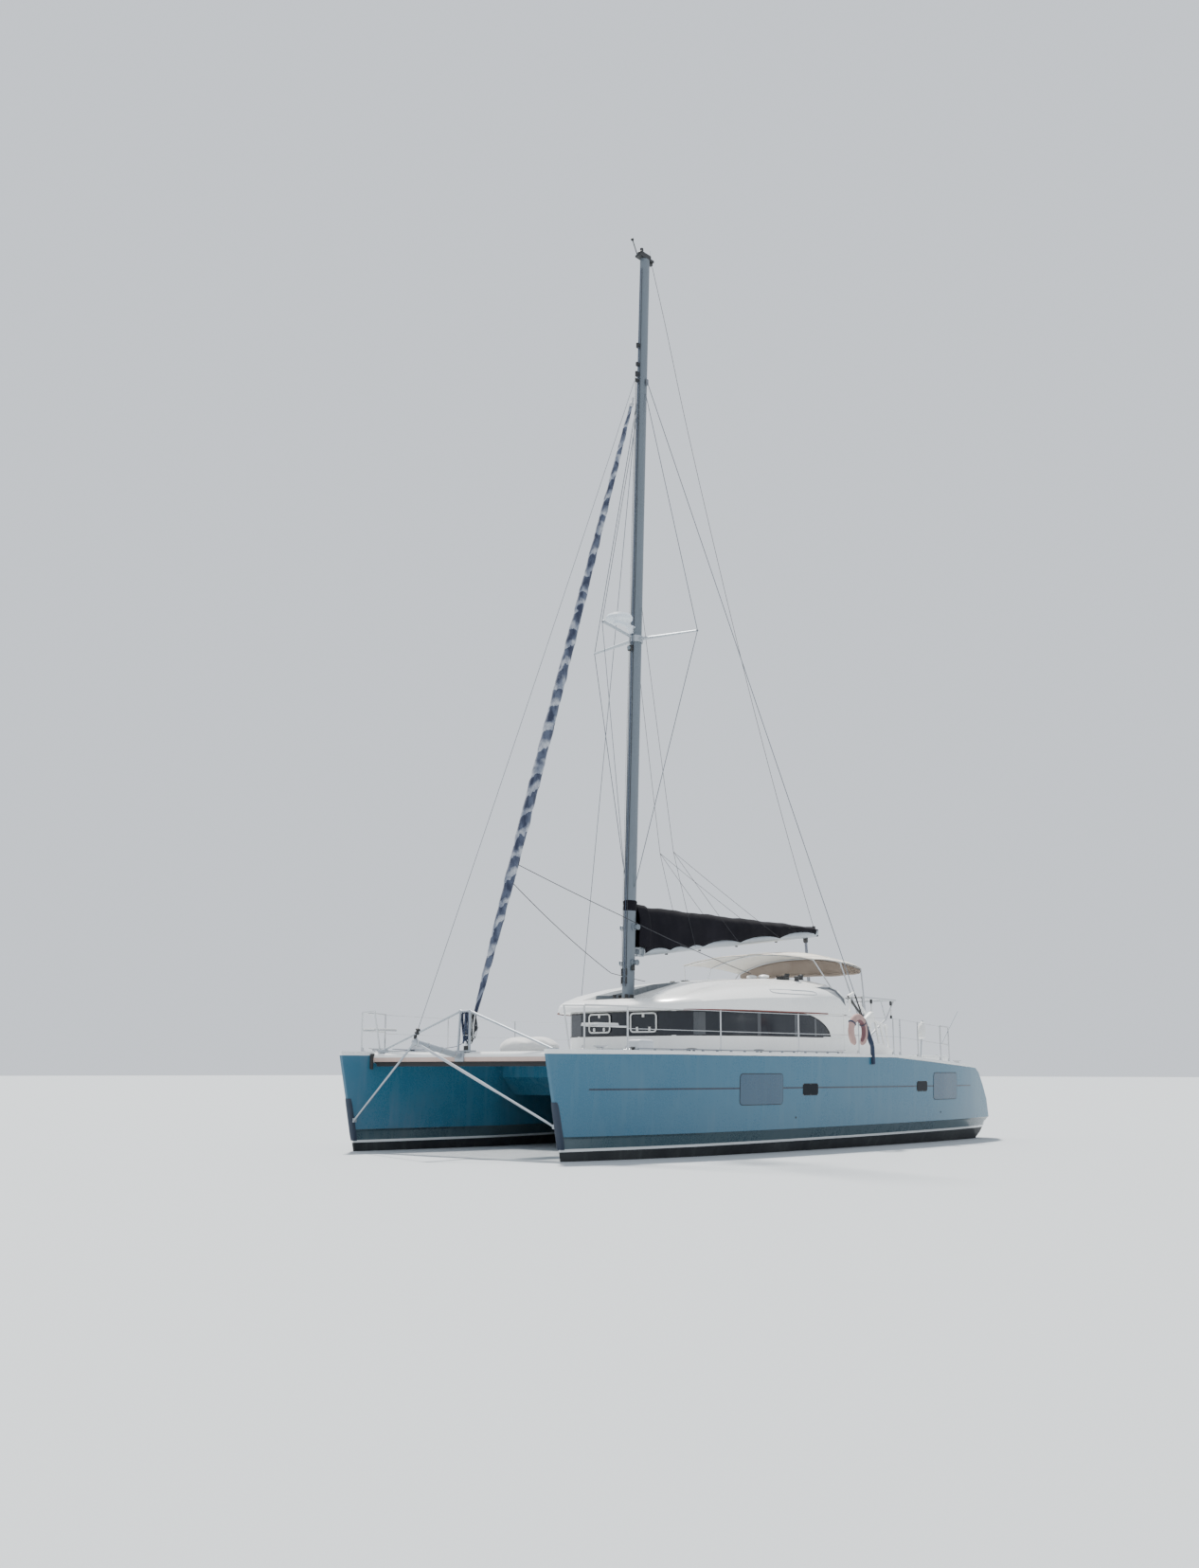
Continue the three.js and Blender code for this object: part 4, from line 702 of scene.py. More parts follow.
class Shape:
    # Collects closed parts of one piece
    def __init__(self):
        self.bm = bmesh.new()

    def loft(self, rings, closed=False):
        rows = [[self.bm.verts.new(Vector(p)) for p in ring] for ring in rings]
        count = len(rows[0])
        for a, b in zip(rows, rows[1:] + (rows[:1] if closed else [])):
            for k in range(count):
                self.bm.faces.new((a[k], a[(k + 1) % count], b[(k + 1) % count], b[k]))
        if not closed:
            self.bm.faces.new(rows[0][::-1])
            self.bm.faces.new(rows[-1])
        return self

    def tube(self, path, radius, sides=8, closed=False, flat=1.0):
        # radius: one number, or one for each point of the path
        path = [Vector(p) for p in path]
        count = len(path)
        rings, normal = [], None
        for i, at in enumerate(path):
            before = path[i - 1] if (i or closed) else at
            after = path[(i + 1) % count] if (i < count - 1 or closed) else at
            tangent = (after - before).normalized()
            if normal is None:
                normal = tangent.orthogonal() if abs(tangent.z) > 0.9 else tangent.cross(upward)
                normal = normal.normalized()
            normal = (normal - tangent * normal.dot(tangent)).normalized()
            other = tangent.cross(normal)
            r = radius[i] if hasattr(radius, "__len__") else radius
            rings.append([at + normal * c * r + other * s * r * flat for c, s in circle(sides)])
        return self.loft(rings, closed)

    def stepped(self, base, axis, profile, sides):
        # profile: distance along the axis and radius, turned about it
        base, axis = Vector(base), Vector(axis)
        side = axis.orthogonal().normalized()
        other = axis.cross(side)
        return self.loft([
            [base + axis * a + (side * c + other * s) * max(r, 0.0002) for c, s in circle(sides)]
            for a, r in profile
        ])

    def block(self, at, size, bevel, turn=Matrix.Identity(3), segments=2):
        # A block with rounded edges
        verts = bmesh.ops.create_cube(self.bm, size=1)["verts"]
        for v in verts:
            v.co = Vector(at) + turn @ Vector((v.co.x * size[0], v.co.y * size[1], v.co.z * size[2]))
        rounded(self.bm, list({e for v in verts for e in v.link_edges}), bevel, segments)
        return self

    def blocks(self, rows):
        for row in rows:
            self.block(*row)
        return self

    def blanket(self, top, low):
        # Closes two grids of points into one thin solid
        rows, under = ([[self.bm.verts.new(Vector(p)) for p in row] for row in grid] for grid in (top, low))
        for a, b, c, d in zip(rows, rows[1:], under, under[1:]):
            for k in range(len(a) - 1):
                self.bm.faces.new((a[k], a[k + 1], b[k + 1], b[k]))
                self.bm.faces.new((c[k], d[k], d[k + 1], c[k + 1]))
            self.bm.faces.new((a[0], b[0], d[0], c[0]))
            self.bm.faces.new((a[-1], c[-1], d[-1], b[-1]))
        for row, lower in ((rows[0], under[0]), (rows[-1][::-1], under[-1][::-1])):
            for k in range(len(row) - 1):
                self.bm.faces.new((row[k], lower[k], lower[k + 1], row[k + 1]))
        return self

    def plate(self, met, lift, sink):
        # A thin solid over a grid of (point, normal)
        return self.blanket(*([lifted(row, out) for row in met] for out in (lift, -sink)))

    def pressed(self, cast, box, radius, lift, sink=0.003, columns=10):
        # A patch with rounded corners laid on whatever cast(u, v) meets
        grid = roundedGrid(*box, radius, columns)
        return self.plate([[cast(u, v) for u, v in row] for row in grid], lift, sink)

    def piece(self, name, finish, slot, body="boat", angle=38):
        bmesh.ops.recalc_face_normals(self.bm, faces=self.bm.faces)
        mesh = toMesh(self.bm, name)
        smoothed(mesh, angle)
        return place(name, mesh, body, finish, slot)


def roundedGrid(u0, u1, v0, v1, radius, columns):
    # Rows of (u, v) that fill a rectangle with rounded corners
    rises = [0, 0.08, 0.3, 0.62, 1.0]
    vs = [v0 + radius * s for s in rises] + steps(v0 + radius, v1 - radius, 4)[1:-1]
    vs += [v1 - radius * s for s in rises[::-1]]
    grid = []
    for v in vs:
        d = min(v - v0, v1 - v, radius)
        inset = radius - math.sqrt(max(radius ** 2 - (radius - d) ** 2, 0))
        grid.append([(u, v) for u in steps(u0 + inset, u1 - inset, columns)])
    return grid


def sheetShell(name, grid, thick, body, finish, slot):
    # grid: rows of points on a cloth; it gets a thickness and stays one closed shell
    bm = bmesh.new()
    rows = [[bm.verts.new(Vector(p)) for p in row] for row in grid]
    for a, b in zip(rows, rows[1:]):
        for k in range(len(a) - 1):
            bm.faces.new((a[k], a[k + 1], b[k + 1], b[k]))
    mesh = toMesh(bm, name)
    smoothed(mesh, 60)
    piece = place(name, mesh, body, finish, slot)
    shell = piece.modifiers.new("thickness", "SOLIDIFY")
    shell.thickness = thick
    shell.offset = -1
    return plainMesh(piece)


# Geometry Nodes for what repeats or follows a line


def newGeometry(name, inputs):
    rows = [("Geometry", "g"), *inputs, ("Material", "m")]
    return newTree(name, "GeometryNodeTree", rows, [("Geometry", "g")])


def wholeInOneFinish(tree, geometry, given, out):
    whole = addNode(tree, "GeometryNodeRealizeInstances", {"Geometry": geometry}).outputs[0]
    done = addNode(tree, "GeometryNodeSetMaterial", {"Geometry": whole, "Material": given["Material"]})
    feed(tree, out["Geometry"], done.outputs[0])
    return tree


def makeCordTree():
    # A round cord along every line of a curve
    tree, given, out = newGeometry("cordAlong", [("Radius", "f", 0.005), ("Sides", "i", 6)])
    size = {"Resolution": given["Sides"], "Radius": given["Radius"]}
    ring = addNode(tree, "GeometryNodeCurvePrimitiveCircle", size).outputs[0]
    swept = {"Curve": given["Geometry"], "Profile Curve": ring, "Fill Caps": True}
    solid = addNode(tree, "GeometryNodeCurveToMesh", swept).outputs[0]
    smooth = addNode(tree, "GeometryNodeSetShadeSmooth", {"Geometry": solid}).outputs[0]
    return wholeInOneFinish(tree, smooth, given, out)


def makeStudTree():
    # Small domed heads on the points of a mesh, standing along the "up" attribute
    tree, given, out = newGeometry("studsOnPoints", [("Radius", "f", 0.006), ("Height", "f", 0.003)])
    radius, height = given["Radius"], given["Height"]
    half = times(tree, height, 0.5)
    body = addNode(tree, "GeometryNodeMeshCylinder", {"Vertices": 8, "Radius": radius, "Depth": height})
    dome = {"Vertices": 8, "Radius Bottom": radius, "Radius Top": times(tree, radius, 0.45), "Depth": half}
    top = addNode(tree, "GeometryNodeMeshCone", dome).outputs["Mesh"]
    lift = addNode(tree, "ShaderNodeCombineXYZ", {"Z": half}).outputs[0]
    head = addNode(tree, "GeometryNodeJoinGeometry")
    raised = addNode(tree, "GeometryNodeTransform", {"Geometry": top, "Translation": lift})
    feed(tree, head.inputs[0], raised.outputs[0])
    feed(tree, head.inputs[0], body.outputs["Mesh"])
    way = addNode(tree, "GeometryNodeInputNamedAttribute", {"Name": "up"}, data_type="FLOAT_VECTOR")
    way = way.outputs["Attribute"]
    turned = addNode(tree, "FunctionNodeAlignRotationToVector", {"Vector": way}, axis="Z").outputs[0]
    spread = {"Points": given["Geometry"], "Instance": head.outputs[0], "Rotation": turned}
    heads = addNode(tree, "GeometryNodeInstanceOnPoints", spread).outputs[0]
    return wholeInOneFinish(tree, heads, given, out)


trees = {"cordAlong": makeCordTree(), "studsOnPoints": makeStudTree()}


def grown(piece, treeName, finish, slot, **inputs):
    # Runs a tree on a piece; inputs are set by identifier before it is first evaluated
    live = piece.modifiers.new(treeName, "NODES")
    tree = trees[treeName]
    idOf = {item.name: item.identifier for item in tree.interface.items_tree if item.in_out == "INPUT"}
    live.node_group = tree
    for key, value in inputs.items():
        live[idOf[key]] = value
    live[idOf["Material"]] = finishes[finish]
    piece = plainMesh(piece)
    return piece


def strung(name, paths, radius, finish, slot, sides):
    curve = bpy.data.curves.new(name, "CURVE")
    curve.dimensions = "3D"
    for path in paths:
        line = curve.splines.new("POLY")
        line.points.add(len(path) - 1)
        for point, at in zip(line.points, path):
            point.co = (*at, 1)
    return grown(linked(name, curve), "cordAlong", finish, slot, Radius=radius, Sides=sides)


def cords(name, paths, radius, finish, slot, sides):
    # Taut lines, stays and lacing, each path a run of points
    piece = strung(name, paths, radius, finish, slot, sides)
    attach(piece, "boat")
    return piece


def loose(name, paths, radius, finish):
    # Rigging with one end on the boom and the other on the boat
    piece = strung(name, paths, radius, finish, "navy", 7)
    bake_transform(piece)


def studs(name, spots, radius, height):
    # spots: (point, direction that the head stands in)
    mesh = bpy.data.meshes.new(name)
    mesh.from_pydata([tuple(p) for p, way in spots], [], [])
    ways = mesh.attributes.new("up", "FLOAT_VECTOR", "POINT")
    for i, (p, way) in enumerate(spots):
        ways.data[i].vector = tuple(way)
    piece = grown(linked(name, mesh), "studsOnPoints", "steel", "steel", Radius=radius, Height=height)
    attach(piece, "boat")


# Lines that several pieces use

mastLine = {"x": 1.390, "z": 2.400, "rake": 0.04003}
boomLine = {"fore": (1.050, 3.225), "aft": (-4.420, 3.910)}      # x and z of its axis


def mastX(z):
    return mastLine["x"] - mastLine["rake"] * (z - mastLine["z"])


def boomZ(x):
    (x0, z0), (x1, z1) = boomLine["fore"], boomLine["aft"]
    return z0 + (x0 - x) * (z1 - z0) / (x0 - x1)


# Furled headsail: a wound roll with the sun strip showing in turns

genoa = {
    "foot": Vector((5.160, 0, 1.560)),
    "head": Vector((mastX(13.530) + 0.165, 0, 13.530)),
    "rows": [       # share of the stay, radius
        (0.045, 0.030), (0.09, 0.048), (0.2, 0.075), (0.35, 0.088),
        (0.55, 0.080), (0.75, 0.060), (0.9, 0.042), (0.965, 0.026),
    ],
    "turns": 30,
    "lip": 0.009,       # how far the outer turn stands off
    "thin": 0.06,       # radius below which the lip shrinks
    "bulges": ((0.05, 91.0), (0.03, 237.0)),
    "pinch": 0.0022,
    "sides": 26,
    "rings": 240,
}
stay = (genoa["head"] - genoa["foot"]).normalized()
stayAcross = stay.cross(Vector((0, 1, 0))).normalized()
stayBeside = stay.cross(stayAcross)


def furledSail():
    rows, count, sides = genoa["rows"], genoa["rings"], genoa["sides"]
    bm = bmesh.new()
    wrap = bm.loops.layers.uv.new("wrap")
    rings = []
    for i, share in enumerate(steps(rows[0][0], rows[-1][0], count)):
        radius = monotone(rows, share, 1)
        turn = genoa["turns"] * i / count
        bulge = 1 + sum(size * math.sin(rate * share) for size, rate in genoa["bulges"])
        centre = genoa["foot"].lerp(genoa["head"], share)
        ring = []
        for k, (c, s) in enumerate(circle(sides)):
            step = (k / sides - turn) % 1.0          # 0 at the edge of the wound leech
            rise = genoa["lip"] * min(radius / genoa["thin"], 1.0) * (step - 0.5)
            pinch = genoa["pinch"] * math.sin(2 * math.pi * (3 * k / sides + 0.7 * turn))
            r = radius * bulge + rise + pinch
            ring.append(bm.verts.new(centre + (stayAcross * c + stayBeside * s) * r))
        rings.append(ring)
    for i in range(count):
        for k in range(sides):
            corners = ((i, k), (i, k + 1), (i + 1, k + 1), (i + 1, k))
            face = bm.faces.new([rings[p][q % sides] for p, q in corners])
            for loop, (p, q) in zip(face.loops, corners):
                loop[wrap].uv = (q / sides, -genoa["turns"] * p / count)
    for ring in (rings[0][::-1], rings[-1]):
        bm.faces.new(ring)
    bmesh.ops.recalc_face_normals(bm, faces=bm.faces)
    mesh = toMesh(bm, "furledRoll")
    smoothed(mesh, 50)
    piece = place("furledRoll", mesh, "boat", "furled", slotOf["furled_genoa"])
    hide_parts("furled_genoa")


furledSail()

# Sail cover: dark canvas hung over the stowed sail, scalloped along its foot

cover = {
    "rows": [       # x, half width, top
        (-4.340, 0.110, 4.030), (-3.200, 0.135, 4.030), (-1.400, 0.150, 4.020),
        (0.200, 0.150, 4.015), (1.020, 0.130, 4.010),
    ],
    "drop": 0.020,                                     # foot of the cover below the boom's axis
    "cusps": [-4.30, -3.05, -1.75, -0.62, -0.16, 0.34, 1.00],   # where straps pull it down
    "lift": 0.085,                                     # height of the hollows between them
    "tuck": 0.30,                                      # narrowing towards the foot
    "inset": 0.008, "settle": 0.012,
    "sags": ((0.012, 5.3, 0), (0.006, 13.1, 1)),
    "fold": 0.009,
    "folds": ((0.5, 6.1, 2.3, 0), (0.3, 14.3, -1.7, 1.1), (0.2, 31, 4, 0)),
    "stations": 96,
    "around": 22,
    "cloth": 0.004,
    "cut": (1.66, 5.36),        # a tapered cut, widest at the mast
    "cutArea": 5.15,
}


def draped(half, top, foot, t, tuck):
    # Half width and height of hanging cloth; t is 0 on the ridge and 1 at the foot, on either side
    wide = half * math.sin(min(abs(t) * 1.45, 1.0) * math.pi / 2) ** 0.8
    return wide * (1 - tuck * max(0, abs(t) - 0.55) / 0.45), top + (foot - top) * abs(t) ** 1.35


def coverFoot(x):
    level = boomZ(x) - cover["drop"]
    for a, b in zip(cover["cusps"], cover["cusps"][1:]):
        if a <= x <= b:
            hollow = math.sin(math.pi * ((x - a) / (b - a))) ** 0.8
            return level + cover["lift"] * min((b - a) / 0.8, 1) * hollow
    return level


def sailCover():
    grid = []
    for x in steps(cover["rows"][-1][0], cover["rows"][0][0], cover["stations"]):
        half, top, foot = monotone(cover["rows"], x, 1), monotone(cover["rows"], x, 2), coverFoot(x)
        sag = sum(size * math.sin(rate * x + start) for size, rate, start in cover["sags"])
        row = []
        for t in steps(-1, 1, cover["around"]):           # -1 starboard foot, 0 ridge, 1 port foot
            wide, z = draped(half, top, foot, t, cover["tuck"])
            wave = sum(size * math.sin(rate * x + slant * t + at) for size, rate, slant, at in cover["folds"])
            wide += cover["fold"] * wave * min(1, abs(t) * 2) - cover["inset"]
            y = math.copysign(max(wide, 0), t) if t else 0.0
            row.append((x, y, z - cover["settle"] + sag * (1 - abs(t)) * 0.6))
        grid.append(row)
    piece = sheetShell("sailCover", grid, cover["cloth"], "boom", "blackCanvas", slotOf["sail_cover"])
    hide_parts("sail_cover")


sailCover()

# Sun canopy stretched over its hoops

canopy = {
    "rows": [       # x, half width, edge, crown
        (-3.850, 1.395, 3.110, 3.350), (-3.600, 1.445, 3.150, 3.410), (-3.100, 1.465, 3.190, 3.430),
        (-2.500, 1.475, 3.210, 3.400), (-2.000, 1.455, 3.200, 3.330),
    ],
    "hoops": [-2.070, -2.950, -3.780],
    "dip": 0.016, "lift": 0.006, "ripple": 0.002,
    "stations": 54,
    "across": 48,
    "cloth": 0.004,
    "seams": [-0.84, -0.42, 0.0, 0.42, 0.84],
    "seamEnds": (-2.03, -3.82),
    "welt": 0.99,
    "cord": 0.0035,
    "cut": (3.10, 1.87),
}


def canopyPoint(x, t, lift=0.0):
    half, edge, crown = (monotone(canopy["rows"], x, c) for c in (1, 2, 3))
    return Vector((x, t * half, edge + (crown - edge) * (1 - abs(t) ** 2.4) + lift))


def sunCanopy():
    grid = []
    for x in steps(canopy["rows"][-1][0], canopy["rows"][0][0], canopy["stations"]):
        near = min(abs(x - h) for h in canopy["hoops"])
        dip = canopy["dip"] * min(near / 0.35, 1) ** 1.5
        row = []
        for t in steps(-1, 1, canopy["across"]):
            ripple = canopy["ripple"] * math.sin(31 * t + 9 * x)
            row.append(canopyPoint(x, t, canopy["lift"] - dip * (1 - t * t) + ripple))
        grid.append(row)
    piece = sheetShell("sunCanopy", grid, canopy["cloth"], "boat", "creamCanvas", slotOf["bimini_canopy"])
    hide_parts("bimini_canopy")
    seams = [[canopyPoint(x, t, 0.008) for x in steps(*canopy["seamEnds"], 30)] for t in canopy["seams"]]
    ends = steps(-canopy["welt"], canopy["welt"], 40)
    welts = [[canopyPoint(x, t, 0.010) for t in ends] for x in canopy["hoops"]]
    cords("canopySeams", seams + welts, canopy["cord"], "creamCanvas", "cream", 5)


sunCanopy()

# Sail bag on the trampoline: a soft roll that sags onto what carries it

bag = {
    "aft": 3.950, "fore": 4.950, "y": 0.620, "low": 1.4262, "top": 1.729, "half": 0.26,
    "lumps": ((0.054, 7.3, 0), (0.018, 19, 1)),
    "crease": 0.012, "settle": 0.008,
    "rings": 46, "around": 30,
}


def sailBag():
    rings = []
    for s in steps(0, 1, bag["rings"]):
        x = bag["aft"] + (bag["fore"] - bag["aft"]) * s
        end = (1 - abs(2 * s - 1) ** 5) ** 0.42
        lump = 1 + sum(size * math.sin(rate * s + start) for size, rate, start in bag["lumps"])
        half = bag["half"] * max(end, 0.06) * min(lump, 1.04)
        tall = (bag["top"] - bag["low"]) * max(end, 0.06) ** 0.8 * min(lump, 1.0)
        ring = []
        for k in range(bag["around"]):
            a = 2 * math.pi * k / bag["around"]
            y = bag["y"] + math.cos(a) * half * (1 + 0.03 * math.sin(5 * a + 6 * s))
            z = (math.sin(a) * 0.5 + 0.5) ** 0.86 * tall
            crease = bag["crease"] * math.sin(26 * s + 4 * math.cos(a)) * max(math.sin(a), 0)
            ring.append((x, y, bag["low"] + max(z + crease * max(end, 0.1) - bag["settle"], 0)))
        rings.append(ring)
    piece = Shape().loft(rings).piece("sailBag", "bagCanvas", slotOf["sail_bag"], angle=70)
    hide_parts("sail_bag")


sailBag()

# Horseshoe buoy of faded vinyl, open downwards

low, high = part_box("horseshoe_buoy")
buoy = {
    "centre": Vector((-0.630, (low[1] + high[1]) / 2, 1.865)),
    "halfX": 0.210, "halfZ": 0.222,      # of the section's middle
    "wide": 0.066, "deep": 0.047,        # half the section
    "from": -60, "to": 240,
    "stations": 48, "around": 18,
    "shaded": -0.35,                     # faces turned inwards more than this get the darker vinyl: partly its own maroon, partly painted shade
}


def buoySpot(degrees):
    # A point on the section's middle line, and the way out from it
    c, s = math.cos(math.radians(degrees)), math.sin(math.radians(degrees))
    spot = buoy["centre"] + Vector((c * buoy["halfX"], 0, s * buoy["halfZ"]))
    return spot, Vector((c / buoy["halfX"], 0, s / buoy["halfZ"])).normalized()


def horseshoeBuoy():
    rings, count = [], buoy["stations"]
    for i, degrees in enumerate(steps(buoy["from"], buoy["to"], count)):
        at, out = buoySpot(degrees)
        plump = min(1, 0.62 + 0.13 * min(i, count - i)) * (1 - 0.05 * (i % 12 == 0))
        wide, deep = out * buoy["wide"] * plump, Vector((0, buoy["deep"] * plump, 0))
        rings.append([at + wide * c + deep * s for c, s in circle(buoy["around"])])
    piece = Shape().loft(rings).piece("horseshoeBuoy", "fadedVinyl", slotOf["horseshoe_buoy"], angle=70)
    piece.data.materials.append(finishes["vinylShade"])
    for face in piece.data.polygons:
        away = (face.center - buoy["centre"]) * Vector((1, 0, 1))
        if (face.normal * Vector((1, 0, 1))).dot(away.normalized()) < buoy["shaded"]:
            face.material_index = 1
    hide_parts("horseshoe_buoy")


horseshoeBuoy()
print("soft pieces made")

# Trampolines: taut knotted net laced to the hulls and the crossbeam

net = {
    "aft": 2.900, "fore": 5.145, "inner": 0.030, "rim": 0.045, "z": 1.4205,
    "spacing": 0.024, "cord": 0.0035, "sag": 0.096, "hem": 0.036,
    "turnIn": 0.004,        # of the hem's outer edge
    "strip": 0.0414,        # width of the webbing
}
innerRows = [(2.900, 1.450), (3.300, 1.530), (4.500, 1.785), (5.300, 1.985), (5.775, 2.130)]


def netEdge(x):
    return monotone(innerRows, x, 1) - net["rim"]


def netPoint(x, y):
    across = min(max((abs(y) - net["inner"]) / (netEdge(x) - net["inner"]), 0), 1)
    ahead = (x - net["aft"]) / (net["fore"] - net["aft"])
    return (x, y, net["z"] - net["sag"] * across * (1 - across) * ahead * (1 - ahead))


def netLines(sign):
    hem, fore, aft, inner = net["hem"], net["fore"], net["aft"], net["inner"] + net["hem"] * 0.5
    paths = []
    y = net["inner"] + hem
    while y < netEdge(fore) - hem:
        xs = [x for x in steps(aft + hem * 0.5, fore - hem * 0.5, 12) if y <= netEdge(x) - hem * 0.5]
        if len(xs) > 1:
            paths.append([netPoint(x, sign * y) for x in xs])
        y += net["spacing"]
    x = aft + hem
    while x < fore - hem * 0.8:
        paths.append([netPoint(x, sign * y) for y in steps(inner, netEdge(x) - hem * 0.5, 8)])
        x += net["spacing"]
    return paths


def netHem(sign):
    # A webbing hem all round, a flat strip folded over the net's edge
    fore, aft, inner, turnIn = net["fore"], net["aft"], net["inner"], net["turnIn"]
    rim = [(x, inner + turnIn) for x in steps(aft + turnIn, fore - turnIn, 20)]
    rim += [(fore - turnIn, y) for y in steps(inner, netEdge(fore) - turnIn, 12)[1:]]
    rim += [(x, netEdge(x) - turnIn) for x in steps(fore, aft, 20)[1:]]
    rim += [(aft + turnIn, y) for y in steps(netEdge(aft) - turnIn, inner, 12)[1:-1]]
    middle = Vector((sum(p[0] for p in rim) / len(rim), sum(p[1] for p in rim) / len(rim)))
    rings = []
    for p in rim:
        x, y = Vector(p) + (middle - Vector(p)).normalized() * net["strip"]
        rings.append([
            (p[0], sign * p[1], net["z"] - 0.005), (p[0], sign * p[1], net["z"] + 0.005),
            (x, sign * y, netPoint(x, y)[2] + 0.0045), (x, sign * y, netPoint(x, y)[2] - 0.0045),
        ])
    return Shape().loft(rings, closed=True)


for sign, side in bothSides:
    node = "trampoline_" + side
    piece = cords("trampolineNet_" + side, netLines(sign), net["cord"], "netCord", slotOf[node], 4)
    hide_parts(node)
    band = netHem(sign).piece("trampolineHem_" + side, "navyCanvas", slotOf[node])
    wide = sum(netEdge(x) for x in steps(net["aft"], net["fore"], 20)) / 21 - net["inner"]
print("trampolines made")

# Where things touch the solids

solidTrees = {}


def touch(nodes, start, way):
    # First point that a straight line meets on the named solids, with the face's direction
    start, way = Vector(start), Vector(way).normalized()
    best = None
    for node in nodes:
        if node not in solidTrees:
            mesh = frame["nodes"][node].data
            faces = [p.vertices[:] for p in mesh.polygons]
            solidTrees[node] = BVHTree.FromPolygons([v.co[:] for v in mesh.vertices], faces)
        at, normal, index, far = solidTrees[node].ray_cast(start, way)
        if at is not None and (best is None or far < best[2]):
            best = (at, normal if normal.dot(way) < 0 else -normal, far)
    if best is None:
        raise ValueError("nothing met by the line from " + str(tuple(start)) + " to " + str(nodes))
    return best[0], best[1]


def hullOf(sign):
    return "hull_port" if sign > 0 else "hull_starboard"


def under(nodes, x, y, start=4):
    # What lies straight below a point
    return touch(nodes, (x, y, start), (0, 0, -1))


def onHull(sign, x, z):
    return touch([hullOf(sign)], (x, sign * 5, z), (0, -sign, 0))


def onDeck(sign, x, inset):
    # A point on the side deck, inset from the gunwale
    return under([hullOf(sign)], x, onHull(sign, x, 1.28)[0].y - sign * inset, 3)


# Hull sides: flush windows, ports, gunwale moulding, toe rails and stem guards

hullItems = {
    "panes": [      # x0, x1, z0, z1, corner radius, finish
        (1.440, 2.430, 0.730, 1.180, 0.055, "panelTint"),
        (0.540, 0.920, 0.862, 1.025, 0.030, "portGlass"),
        (-2.840, -2.485, 0.893, 1.047, 0.030, "portGlass"),
        (-3.998, -3.083, 0.744, 1.194, 0.055, "panelTint"),
    ],
    "seal": 0.010, "sealLift": 0.0022, "paneLift": 0.0048,
    "gunwale": (-4.60, 5.35), "gunwaleDrop": 0.034, "gunwaleRadius": 0.017,
    "rail": (-0.10, 4.35), "railInset": 0.050, "railLift": 0.026, "railRadius": 0.009,
    "cleats": [4.86, -0.34, -4.40], "cleatInset": 0.16,
}
stem = {
    "z": (0.16, 0.80), "y": 2.160,
    "fore": 5.775, "deck": 1.522, "rake": 0.335,      # foremost x at the deck, and its fall back to the water
    "half": 0.030, "widen": 0.016,
}
sheerRows = [
    (-5.775, 1.290), (-5.3, 1.300), (-4.6, 1.345), (-3.5, 1.405), (-1.6, 1.500), (1.6, 1.500),
    (2.9, 1.502), (3.3, 1.506), (4.5, 1.514), (5.3, 1.520), (5.775, 1.522),
]


def sheer(x):
    return monotone(sheerRows, x, 1)


def stemGuard(sign):
    # A navy rubber pad up the bow
    rings = []
    for i, z in enumerate(steps(*stem["z"], 14)):
        fore = stem["fore"] - stem["rake"] * (stem["deck"] - z) / stem["deck"]
        half = stem["half"] + stem["widen"] * (1 - z / stem["deck"])
        full = min(1, 0.35 + 0.35 * min(i, 14 - i))
        section = [(0.017 * full, half * 0.5), (-0.006, half + 0.010 * full), (-0.050, half + 0.016 * full)]
        section = [(0.017 * full, -half * 0.5)] + section + [(dx, -dy) for dx, dy in section[:0:-1]]
        rings.append([(fore + dx, sign * stem["y"] + dy, z) for dx, dy in section])
    return Shape().loft(rings)


